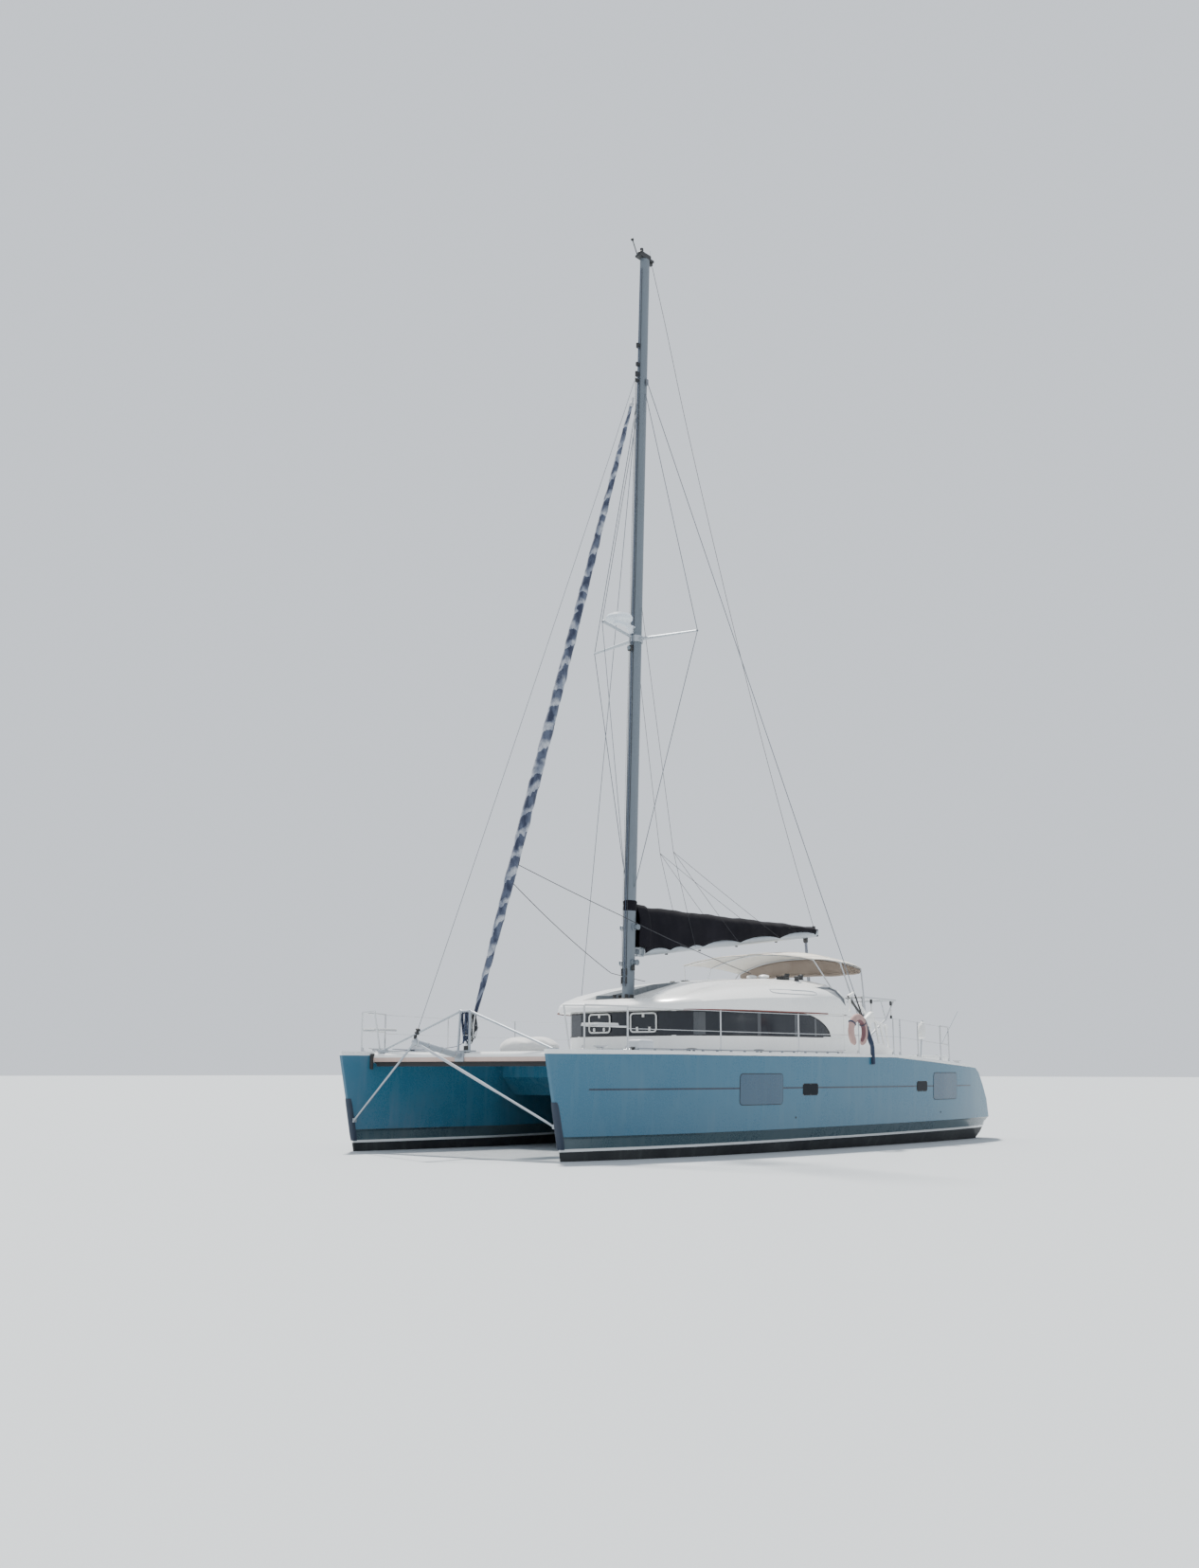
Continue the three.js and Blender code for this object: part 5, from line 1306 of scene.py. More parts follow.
for sign, side in bothSides:
    seals, rims, grow = Shape(), [], hullItems["seal"]
    cast = lambda u, v: onHull(sign, u, v)
    for i, (x0, x1, z0, z1, radius, finish) in enumerate(hullItems["panes"]):
        box = (x0 - grow, x1 + grow, z0 - grow, z1 + grow)
        seals.pressed(cast, box, radius + grow, hullItems["sealLift"])
        pane = Shape().pressed(cast, (x0, x1, z0, z1), radius, hullItems["paneLift"])
        pane.piece(f"hullPane{i}_{side}", finish, "smoked")
        if finish == "portGlass":
            met = [cast(u, v) for u in (x0, x1, (x0 + x1) / 2) for v in (z0, z1)]
            rims += [(at + normal * 0.003, normal) for at, normal in met]
    seals.piece("hullPaneSeals_" + side, "rubber", "black")
    studs("portScrews_" + side, rims, 0.0045, 0.003)
    # Gunwale: a half-round white moulding under the deck edge
    path = [onHull(sign, x, sheer(x) - hullItems["gunwaleDrop"])[0] for x in steps(*hullItems["gunwale"], 70)]
    strake = Shape().tube(path, [0.006] + [hullItems["gunwaleRadius"]] * 69 + [0.006], 10)
    strake.piece("gunwale_" + side, "gelcoat", "gelcoat")
    # Toe rail: a low dark rail with feet
    deckLine = [onDeck(sign, x, hullItems["railInset"])[0] for x in steps(*hullItems["rail"], 60)]
    rail = Shape().tube([p + upward * hullItems["railLift"] for p in deckLine], hullItems["railRadius"])
    for p in deckLine[::4]:
        rail.block(p + upward * 0.012, (0.05, 0.014, 0.026), 0.003)
    rail.piece("toeRail_" + side, "wire", "black")
    stemGuard(sign).piece("stemGuard_" + side, "navyRubber", "navy", angle=60)
    # Mooring cleats: two feet and a horned bar
    cleats = Shape()
    for x in hullItems["cleats"]:
        at = onDeck(sign, x, hullItems["cleatInset"])[0]
        for dx in (-0.045, 0.045):
            cleats.block(at + Vector((dx, 0, 0.016)), (0.042, 0.036, 0.040), 0.008)
        horns = ((-0.15, 0.057), (-0.09, 0.045), (0, 0.043), (0.09, 0.045), (0.15, 0.057))
        cleats.tube([at + Vector((dx, 0, dz)) for dx, dz in horns], [0.007, 0.014, 0.016, 0.014, 0.007], 10)
        cleats.block(at, (0.17, 0.055, 0.008), 0.003)
    cleats.piece("cleats_" + side, "steel", "steel")
print("hull sides done")

# Glass band: seals, mullions, and a dark red-brown line under the visor, painted shade and reflection

band = {
    "low": 1.800, "top": 2.186, "fore": 1.45, "level": -0.650, "end": -1.600,
    "front": 34,                # degrees either side of dead ahead
    "seal": 0.008, "proud": 0.001,
    "mullions": [(1.255, 0.13), (0.290, 0.075), (-0.610, 0.075), (-1.145, 0.060)],      # x, width
}
cabin = {
    "skin": ["cabin_wall", "window_front", "window_port", "window_starboard"],
    "side": [(-2.0, 2.10), (-0.9, 2.06), (0, 1.96), (0.6, 1.83), (1.04, 1.60), (1.34, 1.30), (1.5, 0.95)],
}
visor = {
    "edge": [
        (-2.12, 2.140), (-1.3, 2.110), (-0.5, 2.060), (0.3, 1.980), (0.9, 1.840),
        (1.38, 1.600), (1.68, 1.290),
    ],
    "x": (1.62, -1.48), "inset": 0.004, "z": 2.198, "radius": 0.0115,
}


def onCabin(angle, z):
    # angle in degrees from dead ahead, positive to port
    away = Vector((math.cos(math.radians(angle)), math.sin(math.radians(angle)), 0))
    return touch(cabin["skin"], upward * z + away * 6, -away)


def onCabinSide(x, sign, z):
    return onCabin(sign * math.degrees(math.atan2(monotone(cabin["side"], x, 1), x)), z)


def bandTop(x):
    if x >= band["level"]:
        return band["top"]
    share = min((band["level"] - x) / (band["level"] - band["end"]), 1.0)
    return band["low"] + (band["top"] - band["low"]) * math.cos(math.asin(share)) ** 1.2


glassSeals, shadeLine, mullions = Shape(), Shape(), Shape()
for sign, side in bothSides:
    xs = steps(band["fore"], band["end"], 60)
    for level in (lambda x: band["low"] - 0.004, lambda x: max(bandTop(x), band["low"] + 0.002)):
        glassSeals.tube(lifted([onCabinSide(x, sign, level(x)) for x in xs], band["proud"]), band["seal"], 6)
    # Under the visor's edge: a dark red line, painted shade and reflection at the glass band's top
    run = [(x, monotone(visor["edge"], x, 1) - visor["inset"]) for x in steps(*visor["x"], 48)]
    shadeLine.tube([(x, sign * y, visor["z"]) for x, y in run], visor["radius"])
    for x, wide in band["mullions"]:
        zs = steps(band["low"] + 0.006, bandTop(x) - 0.012, 4)
        met = [[onCabinSide(x + d * wide, sign, z) for d in (0.5, 0, -0.5)] for z in zs]
        mullions.plate(met, 0.0035, 0.002)
for z in (band["low"] - 0.004, band["top"]):
    line = lifted([onCabin(angle, z) for angle in steps(-band["front"], band["front"], 40)], band["proud"])
    glassSeals.tube(line, band["seal"], 6)
glassSeals.piece("glassSeals", "rubber", "black")
shadeLine.piece("visorTrim", "redTrim", "bronze")
mullions.piece("mullions", "mullion", "smoked")

# Opening front windows: white rounded frames, hinges and catches on each leaf

hatchRim = {
    "y": (0.225, 0.725), "z": (1.856, 2.160), "corner": 0.055, "bar": 0.013, "lift": 0.007,
    "knobs": [(0.475, 2.128), (0.36, 1.905), (0.60, 1.905)],
    "knob": [(0.0, 0.020), (0.020, 0.020), (0.026, 0.014), (0.030, 0.004)],
}


def rimPath(cast, sign):
    (y0, y1), (z0, z1), corner = hatchRim["y"], hatchRim["z"], hatchRim["corner"]
    path = []
    for y, z, start in ((y1, z1, 0), (y0, z1, 90), (y0, z0, 180), (y1, z0, 270)):
        y += corner if y == y0 else -corner
        z += corner if z == z0 else -corner
        for a in steps(math.radians(start), math.radians(start + 90), 4):
            path.append(cast(sign * (y + corner * math.cos(a)), z + corner * math.sin(a)))
    return lifted(path, hatchRim["lift"])


for sign, side in bothSides:
    leaf = "window_hatch_" + side
    cast = lambda y, z: touch([leaf], (3, y, z), (-1, 0, 0))
    made = Shape().tube(rimPath(cast, sign), hatchRim["bar"], closed=True)
    for y, z in hatchRim["knobs"]:
        at, normal = cast(sign * y, z)
        turn = normal.to_track_quat("Z", "Y").to_matrix()
        made.block(at + normal * 0.010, (0.030, 0.062, 0.018), 0.005, turn)
        made.stepped(at, normal, hatchRim["knob"], 12)
    made.piece("windowFrame_" + side, "whitePlastic", "gelcoat", leaf)
print("cabin glass done")

# Cabin roof: grey corner steps, partly painted shade; an oval on either side, a rail above with its painted
# shadow below; winches, vents and clutches

roofItems = {
    "step": [(-2.070, 2.350), (-1.960, 2.450), (-1.760, 2.600), (-1.500, 2.710)],
    "stepEnds": (-2.075, -1.500), "stepInner": 1.770, "stepTop": 2.705,
    "panel": {"middle": -0.745, "half": 0.600, "z": 2.548, "rise": 0.036, "tube": 0.005, "lift": 0.003},
    "winches": [(-1.52, 1.46), (-1.90, 1.30), (-1.96, 0.96), (-1.62, -1.40)],
    "winchSize": 0.78, "winchSink": 0.012,
    "winch": [
        (0, 0.088), (0.020, 0.088), (0.028, 0.076), (0.048, 0.056), (0.085, 0.050),
        (0.110, 0.058), (0.128, 0.066), (0.140, 0.064), (0.148, 0.040), (0.158, 0.020),
    ],
    "winchPad": [(0, 0.084), (0.014, 0.084), (0.020, 0.078)],
    "vents": [(-1.72, 0.62), (-1.86, 0.26)],
    "vent": [
        (-0.01, 0.060), (0.020, 0.060), (0.030, 0.095), (0.050, 0.100),
        (0.068, 0.075), (0.078, 0.030), (0.080, 0.004),
    ],
    "clutches": [(-1.62, 1.10), (-1.62, -1.06)], "clutchGap": 0.048, "leverTilt": -9,
}
roof = dressed["coachroof"].data
# The corner steps' faces are grey: partly their own grey, partly painted shade
roof.materials.append(finishes["valleyGrey"])
for face in roof.polygons:
    x, y, z = face.center
    low, high = roofItems["stepEnds"]
    if low < x < high and abs(y) > roofItems["stepInner"]:
        if monotone(roofItems["step"], x, 1) + 0.001 < z < roofItems["stepTop"]:
            face.material_index = 1


def tilted(degrees, axis="Y"):
    return Matrix.Rotation(math.radians(degrees), 3, axis)


railOvals, winches, pads, vents, clutches = Shape(), Shape(), Shape(), Shape(), Shape()
panel = roofItems["panel"]
for sign, side in bothSides:
    line = []
    # The oval's upper run stands for a rail; its lower run is a painted shadow of the rail
    for c, s in circle(48):
        x, z = panel["middle"] + eased(c, 0.35) * panel["half"], panel["z"] + eased(s, 0.7) * panel["rise"]
        line.append(touch(["coachroof"], (x, sign * 5, z), (0, -sign, 0)))
    railOvals.tube(lifted(line, panel["lift"]), panel["tube"], 6, closed=True)
winch = [(a * roofItems["winchSize"], r * roofItems["winchSize"]) for a, r in roofItems["winch"]]
for x, y in roofItems["winches"]:
    at = under(["coachroof"], x, y)[0] - upward * roofItems["winchSink"]
    winches.stepped(at, upward, winch, 24)
    for k, (c, s) in enumerate(circle(3)):
        spot = at + Vector((0.034 * c, 0.034 * s, 0.117))
        winches.block(spot, (0.024, 0.010, 0.008), 0.002, tilted(120 * k, "Z"))
    pads.stepped(at, upward, roofItems["winchPad"], 24)
for x, y in roofItems["vents"]:
    vents.stepped(under(["coachroof"], x, y)[0], upward, roofItems["vent"], 24)
for x, y in roofItems["clutches"]:
    at = under(["coachroof"], x, y)[0]
    for k in range(4):
        spot = at + Vector((0, (k - 1.5) * roofItems["clutchGap"], 0.018))
        clutches.block(spot, (0.150, 0.040, 0.050), 0.008)
        lever = tilted(roofItems["leverTilt"])
        clutches.block(spot + Vector((0.035, 0, 0.034)), (0.110, 0.018, 0.014), 0.005, lever)
railOvals.piece("roofSidePanels", "shadeGrey", "gelcoat")
winches.piece("roofWinches", "blackPlastic", "black")
pads.piece("winchPads", "gelcoat", "gelcoat")
vents.piece("roofVents", "whitePlastic", "gelcoat")
clutches.piece("ropeClutches", "blackPlastic", "black")

# On deck: flush hatches of dark acrylic in a low frame, lockers, cleats, and a ledge at the glass band's tip

deckItems = {
    "hatches": [(3.20, 2.23, 0.52), (4.42, 2.22, 0.34), (-3.20, 2.30, 0.40), (2.30, 0.62, 0.60)],
    "hatchBar": 0.035, "bridgeHalf": 1.0,
    "locker": (3.90, 2.32),
    "cleats": [(4.05, 0.42), (3.05, 0.36), (1.55, 0.36)],
    "ledge": (-1.36, -1.98), "ledgeZ": 1.792,
}
frames, lights, lockers, cleats, ledges = Shape(), Shape(), Shape(), Shape(), Shape()
for x, y, size in deckItems["hatches"]:
    for sign, side in bothSides:
        nodes = ["bridgedeck"] if y < deckItems["bridgeHalf"] else [hullOf(sign)]
        cast = lambda u, v: under(nodes, u, v)
        for shape, bar, corner, lift, sink in (
            (frames, 0, 0.07, 0.020, 0.004), (lights, deckItems["hatchBar"], 0.05, 0.0235, -0.010),
        ):
            half = size / 2 - bar
            box = (x - half, x + half, sign * y - half, sign * y + half)
            shape.pressed(cast, box, corner, lift, sink)
for sign, side in bothSides:
    x, y = deckItems["locker"]
    at = under([hullOf(sign)], x, sign * y, 3)[0]
    lockers.block(at + upward * 0.075, (0.34, 0.26, 0.18), 0.060, segments=4)
    for x, inset in deckItems["cleats"]:
        at = onDeck(sign, x, inset)[0]
        for dx in (-0.055, 0.055):
            cleats.block(at + Vector((dx, 0, 0.018)), (0.030, 0.030, 0.036), 0.005)
        bar = [at + Vector((dx, 0, 0.042)) for dx in (-0.13, -0.08, 0, 0.08, 0.13)]
        cleats.tube(bar, [0.007, 0.013, 0.015, 0.013, 0.007])
    tip = [onCabinSide(x, sign, deckItems["ledgeZ"]) for x in steps(*deckItems["ledge"], 12)]
    ledges.tube(lifted(tip, 0.006), [0.006] + [0.015] * 11 + [0.006])
frames.piece("hatchFrames", "alloy", "alloy")
lights.piece("hatchLights", "smoked", "smoked")
lockers.piece("deckLockers", "shadeGrey", "gelcoat")
cleats.piece("deckCleats", "blackPlastic", "black")
ledges.piece("bandLedges", "gelcoat", "gelcoat")
print("roof and deck fittings done")

# Crossbeam: a painted warm reflection on the lower face, a dark track that is partly painted shade, a dark
# strip of painted shade under it, lashing eyes along the after side, straps at its ends

beam = {
    "x": 5.220, "z": 1.420, "deep": 0.150, "tall": 0.165,
    "end": 1.93, "eyes": 1.95, "eyeAngle": 176, "clear": 0.06,
    "lining": (-46, -36, -24, -12, 2),                  # degrees round the section
    "track": (-112, -98, -84, -70, -58, -47),
    "straps": [      # at, size, rounding
        ((5.305, -1.955, 1.345), (0.030, 0.052, 0.200), 0.008),
        ((5.290, -1.955, 1.450), (0.060, 0.070, 0.070), 0.014),
        ((5.305, 1.955, 1.345), (0.030, 0.052, 0.200), 0.008),
    ],
    "strip": ((5.238, 0, 1.316), (0.026, 3.800, 0.052), 0.006),
}


def beamFace(y, degrees):
    a = math.radians(degrees)
    ideal = Vector((math.cos(a) * beam["deep"] / 2, 0, math.sin(a) * beam["tall"] / 2))
    return touch(["crossbeam"], Vector((beam["x"], y, beam["z"])) + ideal.normalized() * 0.4, -ideal)


ys = steps(-beam["end"], beam["end"], 40)
# Painted warm reflection on the beam's lower front face
lining = Shape().plate([[beamFace(y, a) for a in beam["lining"]] for y in ys], 0.0030, 0.003)
# A dark track, made deep enough to stand also for the shade under the beam
track = Shape().plate([[beamFace(y, a) for a in beam["track"]] for y in ys], 0.0090, 0.003)
lining.piece("beamLining", "warmPaint", "gelcoat")
track.piece("beamTrack", "rubber", "black")
eyes = [y for y in steps(-beam["eyes"], beam["eyes"], 57) if abs(y) > beam["clear"]]
studs("beamEyes", [beamFace(y, beam["eyeAngle"]) for y in eyes], 0.009, 0.012)
Shape().blocks(beam["straps"]).piece("beamStraps", "rubber", "black")
# A dark strip hanging under the beam's front: painted shade
Shape().block(*beam["strip"]).piece("beamStrip", "rubber", "black")

# Furler: line wound on the drum, its cage and the head swivel

furler = {
    "coil": (1.752, 0.096), "coilRadius": (0.050, 0.010), "turns": 15, "perTurn": 16, "line": 0.0062,
    "cage": (1.715, 1.885), "cageRadius": 0.088, "bar": 0.006,
    "neck": [(0, 0.034), (0.03, 0.034), (0.05, 0.022), (0.13, 0.020)],
    "swivel": [(0, 0.018), (0.02, 0.036), (0.09, 0.036), (0.12, 0.020), (0.22, 0.018)], "swivelZ": 13.05,
}


def offStay(z, c=0, s=0, out=0.0):
    # A point on the forestay at a height, or beside it
    at = genoa["foot"] + stay * ((z - genoa["foot"].z) / stay.z)
    return at + (stayAcross * c + stayBeside * s) * out


coil, turn = [], circle(furler["perTurn"])
for i, layer in enumerate(steps(0, 1, furler["turns"] * furler["perTurn"])):
    z = furler["coil"][0] + furler["coil"][1] * abs((layer * 3) % 2 - 1)
    out = furler["coilRadius"][0] + furler["coilRadius"][1] * layer
    coil.append(offStay(z, *turn[i % furler["perTurn"]], out))
Shape().tube(coil, furler["line"], 6).piece("furlingCoil", "ropeNavy", "navy")
cage = Shape()
low, high = furler["cage"]
for c, s in circle(8)[1::2]:
    cage.tube([offStay(z, c, s, furler["cageRadius"]) for z in (low, high)], furler["bar"])
for z in (low + 0.003, high - 0.003):
    cage.tube([offStay(z, c, s, furler["cageRadius"]) for c, s in circle(28)], furler["bar"], closed=True)
cage.stepped(offStay(high), stay, furler["neck"], 16)
cage.stepped(offStay(furler["swivelZ"]), stay, furler["swivel"], 16)
cage.block(offStay(1.60), (0.060, 0.024, 0.09), 0.008)
cage.piece("furlerCage", "steel", "steel")
print("bow fittings done")

# Mast: sail track, halyards, winches and blocks at the foot and on the front, as seen in the photo

mast = {
    "track": (3.95, 13.65, 15.95), "trackBehind": 0.1255, "trackTaper": 0.018 / 2.48, "trackRadius": 0.014,
    "halyards": [      # y, ahead, top, finish
        (0.050, 0.132, 15.9, "ropeBlack"), (0.020, 0.140, 15.9, "ropeNavy"),
        (-0.020, 0.140, 13.75, "ropeBlack"), (-0.055, 0.132, 13.75, "ropeWhite"),
    ],
    "halyardFoot": 2.62, "halyard": 0.0052,
    "winches": (3.02, 3.62),
    "winch": [
        (0, 0.062), (0.018, 0.062), (0.026, 0.046), (0.075, 0.042),
        (0.095, 0.052), (0.106, 0.050), (0.112, 0.030),
    ],
    "blocks": [      # z, ahead, y, its own height above z, size, rounding; one on either side
        (2.45, 0.06, 0.13, 0.003, (0.075, 0.030, 0.060), 0.012),
        (2.45, 0.20, 0.13, 0.003, (0.075, 0.030, 0.060), 0.012),
        (2.72, 0.118, 0.050, 0, (0.030, 0.022, 0.120), 0.008),
        (2.86, 0.118, 0.050, 0, (0.030, 0.022, 0.120), 0.008),
    ],
    "tangs": [(14.335, 0.135, 0.10), (13.961, 0.135, 0.08), (13.766, 0.145, 0.10), (13.640, 0.145, 0.07)],
    "lamp": [(0, 0.036), (0.01, 0.036), (0.022, 0.026), (0.026, 0.004)],
}


def byMast(z, ahead, y, rise=0.0):
    return Vector((mastX(z) + ahead, y, z + rise))


low, middle, high = mast["track"]
behind = [(z, -mast["trackBehind"] + mast["trackTaper"] * max(0, z - middle)) for z in (low, middle, high)]
groove = Shape().tube([byMast(z, x, 0) for z, x in behind], mast["trackRadius"], 6)
groove.piece("mastTrack", "blackPlastic", "black")
for i, (y, ahead, top, finish) in enumerate(mast["halyards"]):
    path = [byMast(z, ahead + 0.004 * math.sin(z * 1.7 + i), y) for z in steps(mast["halyardFoot"], top, 30)]
    cords(f"halyard{i}", [path], mast["halyard"], finish, "navy", 8)
mastBits, mastBlacks = Shape(), Shape()
for sign, side in bothSides:
    for z in mast["winches"]:
        mastBits.stepped(byMast(z, -0.01, sign * 0.080), (0, sign, 0), mast["winch"], 20)
    for z, ahead, y, rise, size, bevel in mast["blocks"]:
        mastBlacks.block(byMast(z, ahead, sign * y, rise), size, bevel)
for z, ahead, size in mast["tangs"]:
    at = byMast(z, ahead, 0)
    mastBlacks.block(at, (0.085, 0.040, size), 0.012)
    mastBlacks.tube([at - Vector((0.05, 0.03, 0)), at + Vector((0.02, 0.03, 0))], 0.020, 10)
mastBlacks.block(byMast(8.53, 0.155, 0, 0.003), (0.075, 0.090, 0.105), 0.020)
mastBlacks.block(byMast(2.93, 0.02, 0.115, -0.003), (0.070, 0.034, 0.085), 0.014)
mastBits.stepped(byMast(8.53, 0.193, 0, 0.003), Vector((1, 0, -0.2)).normalized(), mast["lamp"], 16)
collar = [byMast(2.405, 0.150 * c, 0.112 * s, 0.007) for c, s in circle(32)]
mastBlacks.tube(collar, 0.016, closed=True)
mastBits.piece("mastWinches", "mastPaint", "steel")
mastBlacks.piece("mastBlocks", "blackPlastic", "black")

# Masthead: hood over the sheaves, lamp, whip aerial and the vane's tail

head = Shape()
head.block((0.865, 0, 16.205), (0.300, 0.130, 0.085), 0.030, segments=3)
head.block((0.690, 0, 16.125), (0.110, 0.060, 0.090), 0.018)
head.stepped((0.93, 0, 16.24), upward, [(0, 0.030), (0.05, 0.034), (0.09, 0.030), (0.10, 0.010)], 16)
head.piece("mastheadHood", "blackPlastic", "black")
aerial = Shape().tube([(0.74, 0.045, 16.16), (0.735, 0.046, 16.35)], 0.004, 6)
aerial.tube([(1.02, -0.03, 16.20), (1.165, -0.03, 16.455)], 0.0048, 6)
aerial.piece("mastheadAerial", "steel", "steel")

# Topping lift, lazy jacks and mainsheet join the mast or the deck to the boom

rig = {
    "lift": [
        (-4.38, 0, 4.000), (-4.339, 0, 4.10), (-3.45, 0, 5.90), (-2.30, 0, 8.45),
        (-1.20, 0, 11.15), (-0.356, 0, 13.35), (0.25, 0, 15.10), (0.62, 0, 16.08),
    ],
    "jackFoot": [(-0.30, 0.155), (-1.60, 0.160), (-2.95, 0.150)],
    "jackKnot": (0.306, 0.150, 5.010),
    "jackHead": (1.110, 0.110, 9.300),
    "sheetTop": Vector((-4.08, 0, 3.79)), "sheetLow": Vector((-4.30, 0, 1.47)),
    "falls": (-0.024, -0.008, 0.008, 0.024),
    "genoaSheets": [      # clew, sag, turning point, sag, winch
        ((4.17, 0.075, 4.40), 0.01, (2.136, 0.50, 3.72), 0.03, (-0.50, 1.20, 2.873)),
        ((4.20, -0.075, 4.17), 0.06, (0.653, -1.00, 2.922), 0.005, (-0.55, -1.20, 2.835)),
    ],
    "boomBlocks": [      # at, size, rounding
        ((-4.08, 0, 3.755), (0.085, 0.075, 0.120), 0.022), ((-4.385, 0, 3.990), (0.060, 0.050, 0.110), 0.014),
        ((-4.425, 0, 3.910), (0.050, 0.140, 0.150), 0.020),
    ],
    "boomEyes": (-3.05, -1.75, -0.62, 0.34),
    "traveller": [
        ((-4.30, 0, 1.440), (0.090, 0.080, 0.100), 0.020), ((-4.30, 0, 1.372), (0.070, 1.90, 0.030), 0.006),
        ((-4.30, -0.92, 1.382), (0.085, 0.060, 0.050), 0.012),
        ((-4.30, 0.92, 1.382), (0.085, 0.060, 0.050), 0.012),
    ],
    "stayFoot": (6.20, 0, 1.690),
    "stayDrum": [(0, 0.030), (0.016, 0.040), (0.030, 0.024), (0.050, 0.024), (0.064, 0.040), (0.080, 0.030)],
}


def sagging(a, b, sag, count=24):
    return [Vector(a).lerp(Vector(b), t) - upward * (4 * sag * t * (1 - t)) for t in steps(0, 1, count)]


loose("toppingLift", [pointsAlong(rig["lift"], 60)], 0.0045, "ropeBlack")
for sign, side in bothSides:
    knot, top = (Vector((x, sign * y, z)) for x, y, z in (rig["jackKnot"], rig["jackHead"]))
    paths = [sagging(top, knot, 0.02)]
    paths += [sagging(knot, (x, sign * y, boomZ(x) - 0.01), 0.015) for x, y in rig["jackFoot"]]
    loose("lazyJacks_" + side, paths, 0.0038, "ropeBlack")
top, low = rig["sheetTop"], rig["sheetLow"]
falls = [sagging(top + Vector((0, dy, 0)), low + Vector((0, dy * 1.4, 0)), 0.01, 40) for dy in rig["falls"]]
loose("mainsheet", falls, 0.0058, "ropeNavy")

boomBits = Shape().blocks(rig["boomBlocks"])
boomBits.blocks([((x, 0, boomZ(x) - 0.088), (0.060, 0.028, 0.030), 0.008) for x in rig["boomEyes"]])
boomBits.piece("boomFittings", "blackPlastic", "black", "boom")
Shape().blocks(rig["traveller"]).piece("sheetTraveller", "blackPlastic", "black")

# Headsail sheets to the roof, and the light stay from the sprit to the hounds

sheets = [sagging(a, b, sag) + sagging(b, c, low)[1:] for a, sag, b, low, c in rig["genoaSheets"]]
cords("genoaSheets", sheets, 0.0062, "ropeBlack", "navy", 8)
cords("gennakerStay", [sagging(rig["stayFoot"], byMast(13.6, 0.22, 0), 0.05, 40)], 0.0042, "wire", "wire", 6)
stayEnds = Shape().block((6.195, 0, 1.700), (0.045, 0.030, 0.070), 0.008)
stayEnds.stepped((6.17, 0, 1.745), Vector((-0.366, 0, 0.930)).normalized(), rig["stayDrum"], 18)
stayEnds.piece("stayFurler", "blackPlastic", "black")
ring = [(6.195, 0.060 * c, 1.630 + 0.060 * s) for c, s in circle(20)]
bands = Shape().tube(ring, 0.010, 6, closed=True)
for share in (0.12, 0.42, 0.72):
    at = Vector((5.295, 0, 1.440)).lerp(Vector((6.2, 0, 1.63)), share)
    bands.stepped(at, Vector((0.905, 0, 0.19)).normalized(), [(0, 0.050), (0.02, 0.050)], 20)
bands.piece("spritBands", "steel", "steel")
tip, low = Vector((6.200, 0, 1.630)), Vector((5.512, 2.090, 0.470))
sleeve = [tip.lerp(low, share) for share in steps(0.03, 0.61, 6)]
whisker = Shape().tube(sleeve, [0.017] + [0.021] * 5 + [0.016], 12)
whisker.piece("whiskerSleeve", "shadeGrey", "gelcoat")
print("rigging done")

# After end of the deck: shroud sleeves, racks over the quarters, buoy straps, staffs and float

quarter = {
    "shroud": ((-1.000, 3.266, 1.620), (0.948, 0.100, 13.650)), "sleeve": 0.50, "deckZ": 1.335,
    "rackY": 2.085,
    "strut": ((-2.195, 2.535), (-2.624, 2.214), 0.020),
    "bars": [      # from and to in x and z, radius, further out
        ((-2.506, 2.412), (-2.722, 2.234), 0.026, 0.03), ((-2.900, 2.060), (-2.930, 1.765), 0.022, 0),
        ((-2.250, 2.545), (-2.255, 2.255), 0.020, 0), ((-3.02, 2.120), (-3.52, 2.020), 0.020, 0),
        ((-3.10, 2.115), (-3.22, 1.72), 0.024, 0), ((-3.27, 2.085), (-3.39, 1.69), 0.024, 0),
        ((-3.44, 2.055), (-3.56, 1.66), 0.024, 0),
    ],
    "straps": (35, 145),         # degrees round the buoy
    "float": [(0, 0.020), (0.02, 0.060), (0.10, 0.075), (0.20, 0.070), (0.27, 0.045), (0.30, 0.015)],
}
sleeves, boots, rack, strut = Shape(), Shape(), Shape(), Shape()
for sign, side in bothSides:
    foot, top = (Vector((x, sign * y, z)) for x, y, z in quarter["shroud"])
    way = (top - foot).normalized()
    path = [foot + way * reach for reach in steps(0, quarter["sleeve"], 14)]
    loosely = [0.041 + 0.002 * math.sin(3 * i) for i in range(11)]
    sleeves.tube(path, [0.024, 0.038, *loosely, 0.036, 0.020], 14)
    sleeves.tube([foot + way * 0.01, (foot.x, foot.y + sign * 0.004, quarter["deckZ"])], 0.036, 12)
    reaches = steps(quarter["sleeve"], quarter["sleeve"] + 0.40, 8)
    boots.tube([foot + way * reach for reach in reaches], 0.013, 10)
    y = sign * quarter["rackY"]
    (x0, z0), (x1, z1), radius = quarter["strut"]
    strut.tube([(x0, y, z0), (x1, y, z1)], radius, 10)
    for (x0, z0), (x1, z1), radius, out in quarter["bars"]:
        rack.tube([(x0, y + sign * out, z0), (x1, y + sign * out, z1)], radius, 10)
    rack.block((-2.310, y, 2.560), (0.230, 0.055, 0.050), 0.014, tilted(18))
    rack.block((-2.860, y, 2.135), (0.330, 0.110, 0.170), 0.040, tilted(29), 3)
sleeves.piece("shroudSleeves", "navyCanvas", "navy", angle=70)
boots.piece("shroudBoots", "blackPlastic", "black")
strut.piece("quarterStrut", "blackPlastic", "black")
rack.piece("quarterRack", "whitePlastic", "gelcoat")

